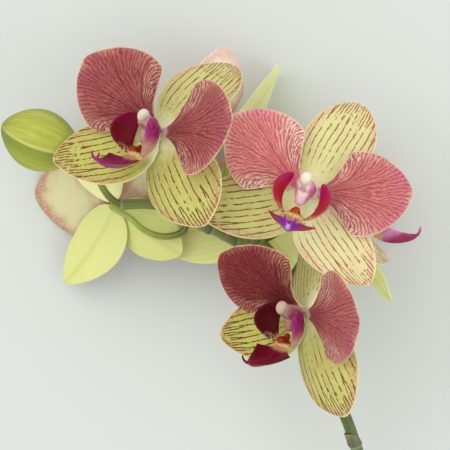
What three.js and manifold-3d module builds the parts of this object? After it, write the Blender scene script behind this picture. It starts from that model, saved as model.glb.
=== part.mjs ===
// A cut stem of moth orchid, lying down, with seven open flowers and one bud.
// Millimetres. +Y runs from the cut end to the top of the stem, +X across it, and +Z is up from
// the surface that it lies on. The origin is on that surface, under the middle of the outline.
import * as THREE from 'three';
import { mergeVertices } from 'three/addons/utils/BufferGeometryUtils.js';
import Module from 'manifold-3d';

const wasm = await Module();
wasm.setup();

// Driving dimensions. Places are measured from the middle of the flower head, which is off the
// origin by HEAD.
const HEAD = new THREE.Vector3(-4.5, 94, 0);
const GAP = 0.3;
const TEPAL_THICKNESS = 0.9;
const TEPAL_ROWS = 7;
const TEPAL_COLUMNS = 6;
const TIP_CROWDING = 1.4;
const LIP_THICKNESS = 0.8;
const ROUND_SIDES = 8;
const BALL_RINGS = 5;
const FUSE_TOLERANCE = 0.1;

// A petal laid flat is a fan: its rays spread to each side by the angle, less near the claw by
// flare; they shorten to each side by drop, and by corner at the two rounded corners.
const PETAL = { claw: 4.2, start: 2.2, front: 1.4 };
const FAN = { angle: 50.5, flare: 0.82, drop: 0.315, power: 1.18, corner: 0.07, widen: 1.04 };

// A sepal laid flat is a leaf shape s^peak (1 - s)^full over a tapering claw, and its midrib
// sweeps aside by sweep times its length.
const SEPAL = { claw: 4.8, tip: 0.8, start: 1.8, front: 0 };
const DORSAL = { peak: 0.75, full: 0.64, sweep: 0 };
const LATERAL = { peak: 0.6, full: 0.77, sweep: 0.17 };
const SET_BACK = 1.4;

// Each tepal by flower: [turn, lean, bend, cup, length, width]. turn is its direction round the
// flower, from its right-hand side; lean is how far it starts out in front of the flower's plane;
// bend is what is added to that by its tip, all in degrees; cup is how far its edges rise, as a
// part of half its width. at is the middle of the flower, turned is its pitch, yaw and roll, and
// lip is how far the lip tips forwards on its claw and turns aside, in degrees.
const FLOWERS = {
  a: {
    at: [-27.9, 39.6, 78],
    turned: [-14, -37.5, -13.6],
    lip: [6, -9],
    dorsal_sepal: [84, -26, -10, 0.13, 46.1, 37],
    left_sepal: [221.8, 18, 3, -0.01, 48.6, 33.7],
    right_sepal: [309, -2.5, -1, -0.24, 46.6, 36.8],
    left_petal: [145.6, 39, 1.2, -0.08, 44.4, 42.4],
    right_petal: [15.6, 11, -1, -0.05, 44.6, 41],
  },
  b: {
    at: [35.7, 13.4, 80],
    turned: [-10, -10.8, -19.8],
    lip: [0, 9],
    dorsal_sepal: [82, -7.6, -5.4, 0.02, 46.5, 31.9],
    left_sepal: [217.6, 8.4, -5, 0.08, 47.9, 31.3],
    right_sepal: [315, -6.3, -8.7, 0.12, 45, 30.4],
    left_petal: [154.6, 14.4, -3.5, 0.03, 45.3, 36.3],
    right_petal: [20, -1.5, -4.7, -0.02, 44.1, 36.9],
  },
  c: {
    at: [35.1, -38.4, 80],
    turned: [4.6, -50, -13],
    lip: [0, 0],
    dorsal_sepal: [129, -30, -4.5, -0.1, 46.5, 30.6],
    left_sepal: [216.6, 12.3, 1, 0.06, 46.2, 29.5],
    right_sepal: [305.4, 11.4, -6, -0.22, 47.9, 35],
    left_petal: [142, 38.6, -3, -0.04, 43.2, 37.9],
    right_petal: [12.5, 15.8, -5.4, -0.06, 44.6, 39.3],
  },
  d: {
    at: [-49.5, 9.8, 29.8],
    turned: [-16, 143, -14],
    lip: [0, 0],
    dorsal_sepal: [88.5, -12.5, 1, 0.06, 36, 29],
    left_sepal: [242.3, 2, 1, 0.1, 37, 31],
    right_sepal: [317, -9, -5, 0.15, 47, 27.5],
    left_petal: [151, 24, 5, 0.06, 38, 38],
    right_petal: [19, 0, 1, 0.03, 50.5, 37.5],
  },
  e: {
    at: [12.4, 4.5, 36],
    turned: [4.2, 175.5, 2],
    lip: [0, 0],
    dorsal_sepal: [108, 2, 4, 0.05, 46, 31],
    left_sepal: [234, 2, 4, 0.05, 47, 31],
    right_sepal: [335.3, 2, 4.6, 0.04, 46, 31.6],
    left_petal: [175, 10, 4, 0.05, 37, 38],
    right_petal: [26, 12, 4, 0.03, 35, 35],
  },
  f: {
    at: [-2.7, 40.7, 35],
    turned: [-41, 234, 12.3],
    lip: [0, 0],
    dorsal_sepal: [135.2, 13.7, 16.7, -0.065, 52.8, 32],
    left_sepal: [248, 23, 4, 0.05, 36, 26],
    right_sepal: [355, 24, 8, 0.05, 35, 27],
    left_petal: [186, 40, 6, 0.05, 33, 34],
    right_petal: [73.2, 31.7, 4.7, 0.19, 38.8, 39.7],
  },
  g: {
    at: [54, 7, 38.4],
    turned: [-12, 94, -12],
    lip: [0, 0],
    dorsal_sepal: [90, 2, 4, 0.05, 46, 31],
    left_sepal: [260.8, 7, 11, 0.06, 49.3, 31.2],
    right_sepal: [323, 20, 13, -0.05, 46.8, 27],
    left_petal: [152, 17, 5, 0.05, 36, 38],
    right_petal: [22, 45, 6, 0.05, 42, 39],
  },
};

// The stem's middle line from the cut end to the bud's stalk, and the places where a pedicel or a
// sheath makes it swell.
const STEM_LINE = [
  [114, -290, 2.2],
  [106.5, -265, 2.2],
  [98.5, -238, 6.5],
  [87, -192, 18],
  [72, -138, 32],
  [59.4, -99.8, 41],
  [53.5, -84, 44.5],
  [41, -54, 48.5],
  [28, -24, 50],
  [15.3, -7.2, 50],
  [5, -7, 50],
  [-6, -1.5, 50],
  [-16.7, 3.6, 50],
  [-25, 8, 50],
  [-36, 9.6, 50],
  [-47.8, 9, 50],
];
const STEM_NODES = [3, 5, 7, 8, 9, 10, 11, 12, 13, 15];
const STEM = { thick: 2.75, thin: 2.35, swell: 0.55, swellLength: 1.6, swellReach: 2.2 };
const CUT = { through: [107.4, -268, 2], slant: [0.3, -0.8, 0.52] };

// A pedicel is a curve with four handles: where it leaves the stem, the way it leaves, the way it
// reaches the flower, which is this far out along the flower's axis, and the back of the flower.
const PEDICEL = { base: 1.7, middle: 1.45, top: 1.1, behind: 0.9, steps: 9 };
const PEDICELS = {
  a: { from: [-25, 8, 50], leaving: [4, 14, 3], arriving: 16 },
  b: { from: [15.3, -7.2, 50], leaving: [12, 3, 0], arriving: 15 },
  c: { from: [41, -54, 48.5], leaving: [10, 2, 2], arriving: 15 },
  e: { from: [5, -7, 50], leaving: [2, 9, 5], arriving: 12 },
  f: { from: [-6, -1.5, 50], leaving: [2, 12, 4], arriving: 14 },
  g: { from: [28, -24, 50], leaving: [8, 3, -6], arriving: 14 },
};
const PEDICEL_D = [
  [-16.7, 3.6, 50],
  [-18.5, -2.2, 48.5],
  [-22.5, -4.6, 47],
  [-28.5, -5.2, 45.5],
  [-34, -3.7, 43.5],
  [-38.8, -1, 41],
  [-43.4, 3.2, 38.4],
  [-49, 6.4, 36.6],
  [-52.2, 8.4, 33.6],
];

// The bud: its base, its axis and its outline, which is sin(pi u^skew)^full, with three ridges.
const BUD = {
  base: [-64.4, 31.8, 51],
  length: 38.6,
  toward: [-0.94, 0.34, 0],
  radius: 14,
  skew: 1.08,
  full: 0.62,
  ridge: 0.035,
  ridges: 3,
  rows: 11,
  sides: 12,
};
const BUD_STALK = [
  [-46, 8.8, 50],
  [-58, 12.5, 50.4],
  [-57.4, 28.8, 51],
  [-64, 31.6, 51],
];

// The lip, in the flower's own frame, with the flower facing +Z and its top towards +Y. A side
// lobe is a drop-shaped blade that stands beside the column, narrow at its foot and round at its
// top: its middle line bows out, and the blade reaches forwards and back from it.
const LOBE_LINE = [[4.4, -12.6, 11.2], [14.6, -6, 15.4], [6.9, 5, 12.4]];
const LOBE = { front: 4.9, back: 5.6, root: 1.3, tip: 0.5, peak: 0.9, full: 0.5, splay: 22, bow: 1.2 };

// The middle lobe is an arrowhead with its edges turned up and two tendrils at its tip.
const MIDLOBE_LINE = [[0, -13.5, 11.5], [0, -19, 14], [0, -21, 24], [0, -18.8, 30.5]];
const MIDLOBE = { root: 3, tip: 1.1, barb: 10.8, barbAt: 0.38, behind: 1.5, ahead: 0.85, curl: 3.8 };
const TENDRIL_LINE = [[0.6, -18.9, 29.7], [1.4, -18.4, 31.8], [2.2, -17, 32.6], [2.6, -15.4, 32.2]];
const TENDRIL = { base: 0.6, tip: 0.45, sides: 3 };
const LIP_CLAW = { line: [[0, -7.8, 9.3], [0, -12, 10.6]], wide: 1.5, high: 1.2 };
const LIP_BASE = { centre: [0, -12.6, 11.2], radii: [4.9, 2.1, 3] };
const CALLUS = { centre: [0, -10.7, 12.6], radii: [2.7, 2, 2.2] };

// The column: a body that widens from its neck, a foot that comes down to the lip, and a cap.
const COLUMN_LINE = [[0, 0, 2.4], [0, 0.4, 7], [0, 3.4, 14.4]];
const COLUMN = { neck: 1.5, wide: 4.9, high: 3.4, widest: 0.6 };
const FOOT_LINE = [[0, 1.2, 8.6], [0, -7.2, 9.1]];
const FOOT = { wide: [4.5, 1.8], high: [3, 1.4] };
const CAP = { centre: [0, 4.1, 14.4], radii: [2.6, 3.1, 2.7] };

const radians = THREE.MathUtils.degToRad;
const mix = THREE.MathUtils.lerp;
const vector = (numbers) => new THREE.Vector3(...numbers);

function petalFlat(length, width, s, t) {
  const ray = radians(FAN.angle) * t * (1 - FAN.flare * (1 - s) ** 2);
  const reach = s * length * (1 - FAN.drop * Math.abs(t) ** FAN.power - FAN.corner * t ** 8);
  const aside = (reach * Math.sin(ray) * FAN.widen * width) / length;
  return [reach * Math.cos(ray), aside + (t * PETAL.claw * (1 - s)) / 2];
}

// A leaf's outline, from 0 at its ends to 1 where it is widest.
function leafShare(shape, s) {
  const leaf = (u) => u ** shape.peak * (1 - u) ** shape.full;
  return leaf(s) / leaf(shape.peak / (shape.peak + shape.full));
}

function sepalFlat(shape, side, length, width, s, t) {
  const narrow = mix(SEPAL.claw / 2, SEPAL.tip, s);
  const half = narrow + (width / 2 - narrow) * leafShare(shape, s);
  return [length * s, half * t + side * shape.sweep * length * s * s];
}

// The side sepal that leans forwards less; it grows from behind the other, as the top sepal does.
function lowerSepal(spec) {
  return spec.left_sepal[1] < spec.right_sepal[1] ? 'left_sepal' : 'right_sepal';
}

// A point of a tepal's middle surface, s from 0 at its claw to 1 at its tip and t from -1 to 1
// across it: the flat shape, rolled along its length into an arc and cupped across.
function tepalPoint(name, spec, s, t) {
  const [turn, lean, bend] = spec[name].slice(0, 3).map(radians);
  const [cup, length, width] = spec[name].slice(3);
  const isPetal = name.endsWith('petal');
  const side = name.startsWith('left') ? -1 : 1;
  const shape = name === 'dorsal_sepal' ? DORSAL : LATERAL;
  const [along, across] = isPetal
    ? petalFlat(length, width, s, t)
    : sepalFlat(shape, side, length, width, s, t);
  const { start, front } = isPetal ? PETAL : SEPAL;
  const setBack = name === 'dorsal_sepal' || name === lowerSepal(spec) ? SET_BACK : 0;
  const slope = lean + (bend * along) / length;
  const lift = (cup * across ** 2) / (width / 2);
  const radius = length / bend;
  const reach = start + radius * (Math.sin(slope) - Math.sin(lean)) - lift * Math.sin(slope);
  const out = front - setBack - radius * (Math.cos(slope) - Math.cos(lean)) + lift * Math.cos(slope);
  return new THREE.Vector3(
    reach * Math.cos(turn) - across * Math.sin(turn),
    reach * Math.sin(turn) + across * Math.cos(turn),
    out,
  );
}

// A closed blade of even thickness round the surface point(s, t): a front grid, the same grid
// behind it with the same diagonals, and a rim.
function blade(point, rows, columns, thickness) {
  const step = 1e-3;
  const front = [];
  const back = [];
  for (let i = 0; i <= rows; i += 1) {
    for (let j = 0; j <= columns; j += 1) {
      const s = 1 - (1 - i / rows) ** TIP_CROWDING;
      const t = (2 * j) / columns - 1;
      const here = point(s, t);
      const alongside = point(s, Math.min(t + step, 1)).sub(point(s, Math.max(t - step, -1)));
      const ahead = point(Math.min(s + step, 1), t).sub(point(Math.max(s - step, 0), t));
      const normal = ahead.cross(alongside).normalize().multiplyScalar(thickness / 2);
      front.push(here.clone().add(normal));
      back.push(here.clone().sub(normal));
    }
  }
  const row = columns + 1;
  const count = front.length;
  const index = [];
  const quad = (a, b, c, d) => index.push(a, b, c, a, c, d);
  for (let i = 0; i < rows; i += 1) {
    for (let j = 0; j < columns; j += 1) {
      const a = i * row + j;
      const b = a + count;
      quad(a, a + row, a + row + 1, a + 1);
      index.push(b, b + row + 1, b + row, b, b + 1, b + row + 1);
    }
  }
  for (let j = 0; j < columns; j += 1) {
    const last = rows * row + j;
    quad(j, j + 1, j + 1 + count, j + count);
    quad(last + 1, last, last + count, last + 1 + count);
  }
  for (let i = 0; i < rows; i += 1) {
    const left = i * row;
    const right = left + columns;
    quad(left + row, left, left + count, left + row + count);
    quad(right, right + row, right + row + count, right + count);
  }
  const geometry = new THREE.BufferGeometry().setFromPoints([...front, ...back]);
  geometry.setIndex(index);
  return geometry;
}

// A closed rod along a curve, with a ring of corners at each stop. wide(u) and high(u) are the
// radii of the ring, along and across the direction that up gives at the first stop.
function rod(curve, stops, wide, high, sides, up) {
  const points = [];
  const index = [];
  let normal = up.clone();
  for (const u of stops) {
    const tangent = curve.getTangent(u);
    normal = normal.addScaledVector(tangent, -normal.dot(tangent)).normalize().clone();
    const binormal = tangent.clone().cross(normal);
    for (let j = 0; j < sides; j += 1) {
      const angle = (2 * Math.PI * j) / sides;
      const corner = curve.getPoint(u);
      corner.addScaledVector(normal, high(u) * Math.cos(angle));
      points.push(corner.addScaledVector(binormal, wide(u) * Math.sin(angle)));
    }
  }
  const last = (stops.length - 1) * sides;
  for (let i = 0; i < stops.length - 1; i += 1) {
    for (let j = 0; j < sides; j += 1) {
      const a = i * sides + j;
      const b = i * sides + ((j + 1) % sides);
      index.push(a, b, b + sides, a, b + sides, a + sides);
    }
  }
  for (let j = 0; j < sides; j += 1) {
    const next = (j + 1) % sides;
    index.push(points.length, next, j, points.length + 1, last + j, last + next);
  }
  points.push(curve.getPoint(stops[0]), curve.getPoint(stops.at(-1)));
  const geometry = new THREE.BufferGeometry().setFromPoints(points);
  geometry.setIndex(index);
  return geometry;
}

const evenly = (count) => Array.from({ length: count + 1 }, (_, i) => i / count);

function toSolid(geometry) {
  const bare = new THREE.BufferGeometry();
  bare.setAttribute('position', geometry.attributes.position);
  bare.setIndex(geometry.index);
  const merged = mergeVertices(bare, 1e-4);
  const facets = new wasm.Mesh({
    numProp: 3,
    vertProperties: new Float32Array(merged.attributes.position.array),
    triVerts: new Uint32Array(merged.index.array),
  });
  return new wasm.Manifold(facets);
}

function fromSolid(solid) {
  const facets = solid.getMesh();
  const geometry = new THREE.BufferGeometry();
  const position = new THREE.BufferAttribute(new Float32Array(facets.vertProperties), 3);
  geometry.setAttribute('position', position);
  geometry.setIndex(Array.from(facets.triVerts));
  return geometry;
}

function fuse(geometries) {
  const whole = wasm.Manifold.union(geometries.map(toSolid));
  return fromSolid(whole.simplify(FUSE_TOLERANCE));
}

function mesh(name, geometry, color) {
  geometry.computeVertexNormals();
  const material = new THREE.MeshStandardMaterial({ color, roughness: 0.5, metalness: 0 });
  const made = new THREE.Mesh(geometry, material);
  made.name = name;
  return made;
}

function ball(centre, radii) {
  const geometry = new THREE.SphereGeometry(1, ROUND_SIDES, BALL_RINGS);
  return geometry.scale(...radii).translate(...centre);
}

function lobePoint(side, s, t) {
  const line = new THREE.QuadraticBezierCurve3(...LOBE_LINE.map(vector));
  const share = leafShare(LOBE, s);
  const least = mix(LOBE.root, LOBE.tip, s);
  const reach = mix(-least - LOBE.back * share, least + LOBE.front * share, (t + 1) / 2);
  const here = line.getPoint(s);
  here.x += reach * Math.sin(radians(LOBE.splay)) + LOBE.bow * share * (1 - t * t);
  here.z += reach * Math.cos(radians(LOBE.splay));
  here.x *= side;
  return here;
}

function midlobePoint(s, t) {
  const line = new THREE.CubicBezierCurve3(...MIDLOBE_LINE.map(vector));
  const narrow = mix(MIDLOBE.root, MIDLOBE.tip, s);
  const share = s < MIDLOBE.barbAt
    ? (s / MIDLOBE.barbAt) ** MIDLOBE.behind
    : ((1 - s) / (1 - MIDLOBE.barbAt)) ** MIDLOBE.ahead;
  const here = line.getPoint(s);
  here.x = t * mix(narrow, MIDLOBE.barb, share);
  here.y += MIDLOBE.curl * Math.abs(here.x / MIDLOBE.barb) ** 1.3;
  return here;
}

function lipGeometry() {
  const line = (points) => new THREE.LineCurve3(...points.map(vector));
  const forward = new THREE.Vector3(0, 0, 1);
  const pieces = [
    blade(midlobePoint, 8, 4, LIP_THICKNESS),
    ball(LIP_BASE.centre, LIP_BASE.radii),
    ball(CALLUS.centre, CALLUS.radii),
    rod(line(LIP_CLAW.line), [0, 1], () => LIP_CLAW.wide, () => LIP_CLAW.high, ROUND_SIDES, forward),
  ];
  for (const side of [-1, 1]) {
    const tendril = TENDRIL_LINE.map(([x, y, z]) => new THREE.Vector3(side * x, y, z));
    const curve = new THREE.CubicBezierCurve3(...tendril);
    const radius = (u) => mix(TENDRIL.base, TENDRIL.tip, u);
    pieces.push(rod(curve, evenly(3), radius, radius, TENDRIL.sides, forward));
    pieces.push(blade((s, t) => lobePoint(side, s, side * t), 6, 3, LIP_THICKNESS));
  }
  return fuse(pieces);
}

function columnGeometry() {
  const up = new THREE.Vector3(0, 1, 0);
  const forward = new THREE.Vector3(0, 0, 1);
  const body = new THREE.QuadraticBezierCurve3(...COLUMN_LINE.map(vector));
  const foot = new THREE.LineCurve3(...FOOT_LINE.map(vector));
  const swell = (u) => Math.sin((Math.PI / 2) * (u / COLUMN.widest)) ** 0.8;
  const width = (most) => (u) => mix(COLUMN.neck, most, swell(u));
  const taper = (ends) => (u) => mix(...ends, u);
  return fuse([
    rod(body, evenly(5), width(COLUMN.wide), width(COLUMN.high), ROUND_SIDES, up),
    rod(foot, evenly(1), taper(FOOT.wide), taper(FOOT.high), ROUND_SIDES, forward),
    ball(CAP.centre, CAP.radii),
  ]);
}

const TEPALS = ['dorsal_sepal', 'left_sepal', 'right_sepal', 'left_petal', 'right_petal'];
const COLORS = {
  petal: '#b25a62',
  sepal: '#cfc873',
  lip: '#8a1038',
  column: '#e3c3d2',
  pedicel: '#93a552',
  stem: '#5c6b3d',
  bud: '#b5c058',
};

function flowerGroup(flower) {
  const spec = FLOWERS[flower];
  const group = new THREE.Group();
  group.position.set(...spec.at);
  group.rotation.set(...spec.turned.map(radians), 'YXZ');
  for (const name of TEPALS) {
    const point = (s, t) => tepalPoint(name, spec, s, t);
    const geometry = blade(point, TEPAL_ROWS, TEPAL_COLUMNS, TEPAL_THICKNESS);
    const color = name.endsWith('petal') ? COLORS.petal : COLORS.sepal;
    group.add(mesh(`flower_${flower}_${name}`, geometry, color));
  }
  const lip = mesh(`flower_${flower}_lip`, lipGeometry(), COLORS.lip);
  const hinge = vector(LIP_CLAW.line[0]);
  lip.rotation.set(...spec.lip.map(radians), 0, 'YXZ');
  lip.position.copy(hinge).sub(hinge.clone().applyEuler(lip.rotation));
  group.add(lip);
  group.add(mesh(`flower_${flower}_column`, columnGeometry(), COLORS.column));
  return group;
}

// The stem's curve, and its stops: two in each span, and one more on each side of a swelling.
const stemCurve = new THREE.CatmullRomCurve3(STEM_LINE.map(vector), false, 'catmullrom', 0.5);

function stemStops() {
  const spans = STEM_LINE.length - 1;
  const stops = evenly(spans * 2);
  for (const node of STEM_NODES) {
    const before = vector(STEM_LINE[node]).distanceTo(vector(STEM_LINE[Math.max(node - 1, 0)]));
    const after = vector(STEM_LINE[node]).distanceTo(vector(STEM_LINE[Math.min(node + 1, spans)]));
    stops.push((node - STEM.swellReach / before) / spans);
    if (after > 0) stops.push((node + STEM.swellReach / after) / spans);
  }
  stops.sort((a, b) => a - b);
  return stops.filter((u, i) => i === 0 || u - stops[i - 1] > 0.1 / spans);
}

function stemSolid(grow) {
  const places = STEM_NODES.map((node) => vector(STEM_LINE[node]));
  const radius = (u) => {
    const here = stemCurve.getPoint(u);
    const near = Math.min(...places.map((place) => place.distanceTo(here)));
    return mix(STEM.thick, STEM.thin, u) + STEM.swell * Math.exp(-((near / STEM.swellLength) ** 2)) + grow;
  };
  const up = new THREE.Vector3(0, 0, 1);
  const line = toSolid(rod(stemCurve, stemStops(), radius, radius, ROUND_SIDES, up));
  const tip = toSolid(ball(STEM_LINE.at(-1), Array(3).fill(radius(1))));
  return line.add(tip);
}

// Trims a solid where it would go through the surface that it lies on, with a flat spot.
const onTheSurface = (solid) => solid.trimByPlane([0, 0, 1], 0);

function stemGeometry() {
  const slant = vector(CUT.slant).normalize();
  const cut = stemSolid(0).trimByPlane(slant.negate().toArray(), vector(CUT.through).dot(slant));
  return fromSolid(onTheSurface(cut));
}

function pedicelCurve(flower) {
  if (flower === 'd') {
    const points = [...PEDICEL_D, backOf('d', PEDICEL.behind).toArray()];
    return new THREE.CatmullRomCurve3(points.map(vector), false, 'catmullrom', 0.5);
  }
  const { from, leaving, arriving } = PEDICELS[flower];
  const away = vector(from).add(vector(leaving));
  const ends = [backOf(flower, arriving), backOf(flower, PEDICEL.behind)];
  return new THREE.CubicBezierCurve3(vector(from), away, ...ends);
}

// The point this far behind the middle of a flower.
function backOf(flower, distance) {
  const { at, turned } = FLOWERS[flower];
  const turn = new THREE.Euler(...turned.map(radians), 'YXZ');
  return new THREE.Vector3(0, 0, -distance).applyEuler(turn).add(vector(at));
}

const pedicelRadius = (u) => (u < 0.5
  ? mix(PEDICEL.base, PEDICEL.middle, u * 2)
  : mix(PEDICEL.middle, PEDICEL.top, u * 2 - 1));

const clearOfStem = stemSolid(GAP);

function stalk(name, curve, steps) {
  const up = new THREE.Vector3(0.1, 0.2, 1).normalize();
  const whole = toSolid(rod(curve, evenly(steps), pedicelRadius, pedicelRadius, ROUND_SIDES, up));
  return mesh(name, fromSolid(whole.subtract(clearOfStem)), COLORS.pedicel);
}

function budMesh() {
  const points = [];
  const index = [];
  for (let i = 1; i < BUD.rows; i += 1) {
    const u = (1 - Math.cos((Math.PI * i) / BUD.rows)) / 2;
    for (let j = 0; j < BUD.sides; j += 1) {
      const angle = (2 * Math.PI * j) / BUD.sides;
      const outline = BUD.radius * Math.sin(Math.PI * u ** BUD.skew) ** BUD.full;
      const radius = outline * (1 + BUD.ridge * Math.cos(BUD.ridges * angle));
      points.push(new THREE.Vector3(radius * Math.cos(angle), radius * Math.sin(angle), BUD.length * u));
    }
  }
  const base = points.length;
  points.push(new THREE.Vector3(0, 0, 0), new THREE.Vector3(0, 0, BUD.length));
  for (let i = 0; i < BUD.rows - 2; i += 1) {
    for (let j = 0; j < BUD.sides; j += 1) {
      const a = i * BUD.sides + j;
      const b = i * BUD.sides + ((j + 1) % BUD.sides);
      index.push(a, b, b + BUD.sides, a, b + BUD.sides, a + BUD.sides);
    }
  }
  const top = (BUD.rows - 2) * BUD.sides;
  for (let j = 0; j < BUD.sides; j += 1) {
    const next = (j + 1) % BUD.sides;
    index.push(base, next, j, base + 1, top + j, top + next);
  }
  const geometry = new THREE.BufferGeometry().setFromPoints(points);
  geometry.setIndex(index);
  const made = mesh('bud', geometry, COLORS.bud);
  made.position.set(...BUD.base);
  made.quaternion.setFromUnitVectors(new THREE.Vector3(0, 0, 1), vector(BUD.toward).normalize());
  return made;
}

// Moves a mesh out of its flower's group into the whole, with a flat spot where it rests.
function rest(made) {
  made.updateWorldMatrix(true, false);
  const solid = toSolid(made.geometry.clone().applyMatrix4(made.matrixWorld));
  return mesh(made.name, fromSolid(onTheSurface(solid)), made.material.color);
}

// The tepals whose tips reach the surface: with the cut end, they are what the stem lies on.
const RESTING = ['flower_d_right_petal', 'flower_f_dorsal_sepal'];

const head = new THREE.Group();
head.position.copy(HEAD);
head.add(mesh('stem', stemGeometry(), COLORS.stem));
head.add(budMesh());
head.add(stalk('bud_pedicel', new THREE.CubicBezierCurve3(...BUD_STALK.map(vector)), PEDICEL.steps));
for (const flower of Object.keys(FLOWERS)) {
  head.add(flowerGroup(flower));
  head.add(stalk(`flower_${flower}_pedicel`, pedicelCurve(flower), PEDICEL.steps));
}

const orchid = new THREE.Group();
orchid.add(head);
for (const name of RESTING) {
  const whole = head.getObjectByName(name);
  orchid.add(rest(whole));
  whole.removeFromParent();
}
export default orchid;
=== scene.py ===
# %% [markdown]
# # A cut stem of moth orchid
#
# The stem lies on a pale floor and the camera looks down on it. Seven flowers and a bud grow from
# an arching stalk. Three of the flowers face the camera and four face away from it.
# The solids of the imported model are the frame: they hold each petal, lip and stalk in its place.
# Every piece here is a finer surface over one of those solids, worked out with numpy from the
# same few sizes, in metres, with +Z up from the floor.

# %% The frame
import bmesh
import bpy
import numpy as np
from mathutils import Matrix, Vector


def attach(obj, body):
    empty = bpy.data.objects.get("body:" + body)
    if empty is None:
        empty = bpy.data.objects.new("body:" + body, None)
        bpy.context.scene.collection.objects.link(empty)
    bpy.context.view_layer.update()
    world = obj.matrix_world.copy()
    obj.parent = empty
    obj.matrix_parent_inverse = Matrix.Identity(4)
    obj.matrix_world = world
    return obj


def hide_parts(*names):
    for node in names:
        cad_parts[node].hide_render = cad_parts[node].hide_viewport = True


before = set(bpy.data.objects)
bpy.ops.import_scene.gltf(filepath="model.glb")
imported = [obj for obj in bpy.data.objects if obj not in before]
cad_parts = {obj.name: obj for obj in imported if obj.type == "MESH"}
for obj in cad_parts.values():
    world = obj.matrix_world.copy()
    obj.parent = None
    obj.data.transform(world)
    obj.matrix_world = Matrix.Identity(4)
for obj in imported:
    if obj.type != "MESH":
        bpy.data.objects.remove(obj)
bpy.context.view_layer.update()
print("nodes in the frame:", len(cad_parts))

# %% [markdown]
# ## Where the flowers are
#
# A flower is laid out in its own frame first: its middle at the origin, its face towards +Z and
# its top towards +Y. It is then turned and moved to its place on the stem. The numbers are in
# millimetres and degrees here, because that is how a petal is measured, and `MM` brings them to
# Blender's metres at the very end. They repeat the sizes of the solids, which can't be read back
# as lengths and angles from their triangles.

# %% The sizes of the flowers
MM = 0.001
HEAD = np.array([-4.5, 94.0, 0.0])
PETAL = {"claw": 4.2, "start": 2.2, "front": 1.4}
FAN = {"angle": 50.5, "flare": 0.82, "drop": 0.315, "power": 1.18, "corner": 0.07, "widen": 1.04}
SEPAL = {"claw": 4.8, "tip": 0.8, "start": 1.8, "front": 0.0}
DORSAL = {"peak": 0.75, "full": 0.64, "sweep": 0.0}
LATERAL = {"peak": 0.6, "full": 0.77, "sweep": 0.17}
SET_BACK = 1.4

# Each tepal holds its turn round the flower, its lean out of the flower's plane, its bend, its
# cup, its length and its width. "at" is the flower's middle and "turned" its pitch, yaw and roll.
# "lip" is how far the lip tips forwards on its claw and turns aside.
FLOWERS = {
    "a": {
        "at": (-27.9, 39.6, 78), "turned": (-14, -37.5, -13.6), "lip": (6, -9),
        "dorsal_sepal": (84, -26, -10, 0.13, 46.1, 37),
        "left_sepal": (221.8, 18, 3, -0.01, 48.6, 33.7),
        "right_sepal": (309, -2.5, -1, -0.24, 46.6, 36.8),
        "left_petal": (145.6, 39, 1.2, -0.08, 44.4, 42.4),
        "right_petal": (15.6, 11, -1, -0.05, 44.6, 41),
    },
    "b": {
        "at": (35.7, 13.4, 80), "turned": (-10, -10.8, -19.8), "lip": (0, 9),
        "dorsal_sepal": (82, -7.6, -5.4, 0.02, 46.5, 31.9),
        "left_sepal": (217.6, 8.4, -5, 0.08, 47.9, 31.3),
        "right_sepal": (315, -6.3, -8.7, 0.12, 45, 30.4),
        "left_petal": (154.6, 14.4, -3.5, 0.03, 45.3, 36.3),
        "right_petal": (20, -1.5, -4.7, -0.02, 44.1, 36.9),
    },
    "c": {
        "at": (35.1, -38.4, 80), "turned": (4.6, -50, -13), "lip": (0, 0),
        "dorsal_sepal": (129, -30, -4.5, -0.1, 46.5, 30.6),
        "left_sepal": (216.6, 12.3, 1, 0.06, 46.2, 29.5),
        "right_sepal": (305.4, 11.4, -6, -0.22, 47.9, 35),
        "left_petal": (142, 38.6, -3, -0.04, 43.2, 37.9),
        "right_petal": (12.5, 15.8, -5.4, -0.06, 44.6, 39.3),
    },
    "d": {
        "at": (-49.5, 9.8, 29.8), "turned": (-16, 143, -14), "lip": (0, 0),
        "dorsal_sepal": (88.5, -12.5, 1, 0.06, 36, 29),
        "left_sepal": (242.3, 2, 1, 0.1, 37, 31),
        "right_sepal": (317, -9, -5, 0.15, 47, 27.5),
        "left_petal": (151, 24, 5, 0.06, 38, 38),
        "right_petal": (19, 0, 1, 0.03, 50.5, 37.5),
    },
    "e": {
        "at": (12.4, 4.5, 36), "turned": (4.2, 175.5, 2), "lip": (0, 0),
        "dorsal_sepal": (108, 2, 4, 0.05, 46, 31),
        "left_sepal": (234, 2, 4, 0.05, 47, 31),
        "right_sepal": (335.3, 2, 4.6, 0.04, 46, 31.6),
        "left_petal": (175, 10, 4, 0.05, 37, 38),
        "right_petal": (26, 12, 4, 0.03, 35, 35),
    },
    "f": {
        "at": (-2.7, 40.7, 35), "turned": (-41, 234, 12.3), "lip": (0, 0),
        "dorsal_sepal": (135.2, 13.7, 16.7, -0.065, 52.8, 32),
        "left_sepal": (248, 23, 4, 0.05, 36, 26),
        "right_sepal": (355, 24, 8, 0.05, 35, 27),
        "left_petal": (186, 40, 6, 0.05, 33, 34),
        "right_petal": (73.2, 31.7, 4.7, 0.19, 38.8, 39.7),
    },
    "g": {
        "at": (54, 7, 38.4), "turned": (-12, 94, -12), "lip": (0, 0),
        "dorsal_sepal": (90, 2, 4, 0.05, 46, 31),
        "left_sepal": (260.8, 7, 11, 0.06, 49.3, 31.2),
        "right_sepal": (323, 20, 13, -0.05, 46.8, 27),
        "left_petal": (152, 17, 5, 0.05, 36, 38),
        "right_petal": (22, 45, 6, 0.05, 42, 39),
    },
}
TEPALS = ("dorsal_sepal", "left_sepal", "right_sepal", "left_petal", "right_petal")


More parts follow.
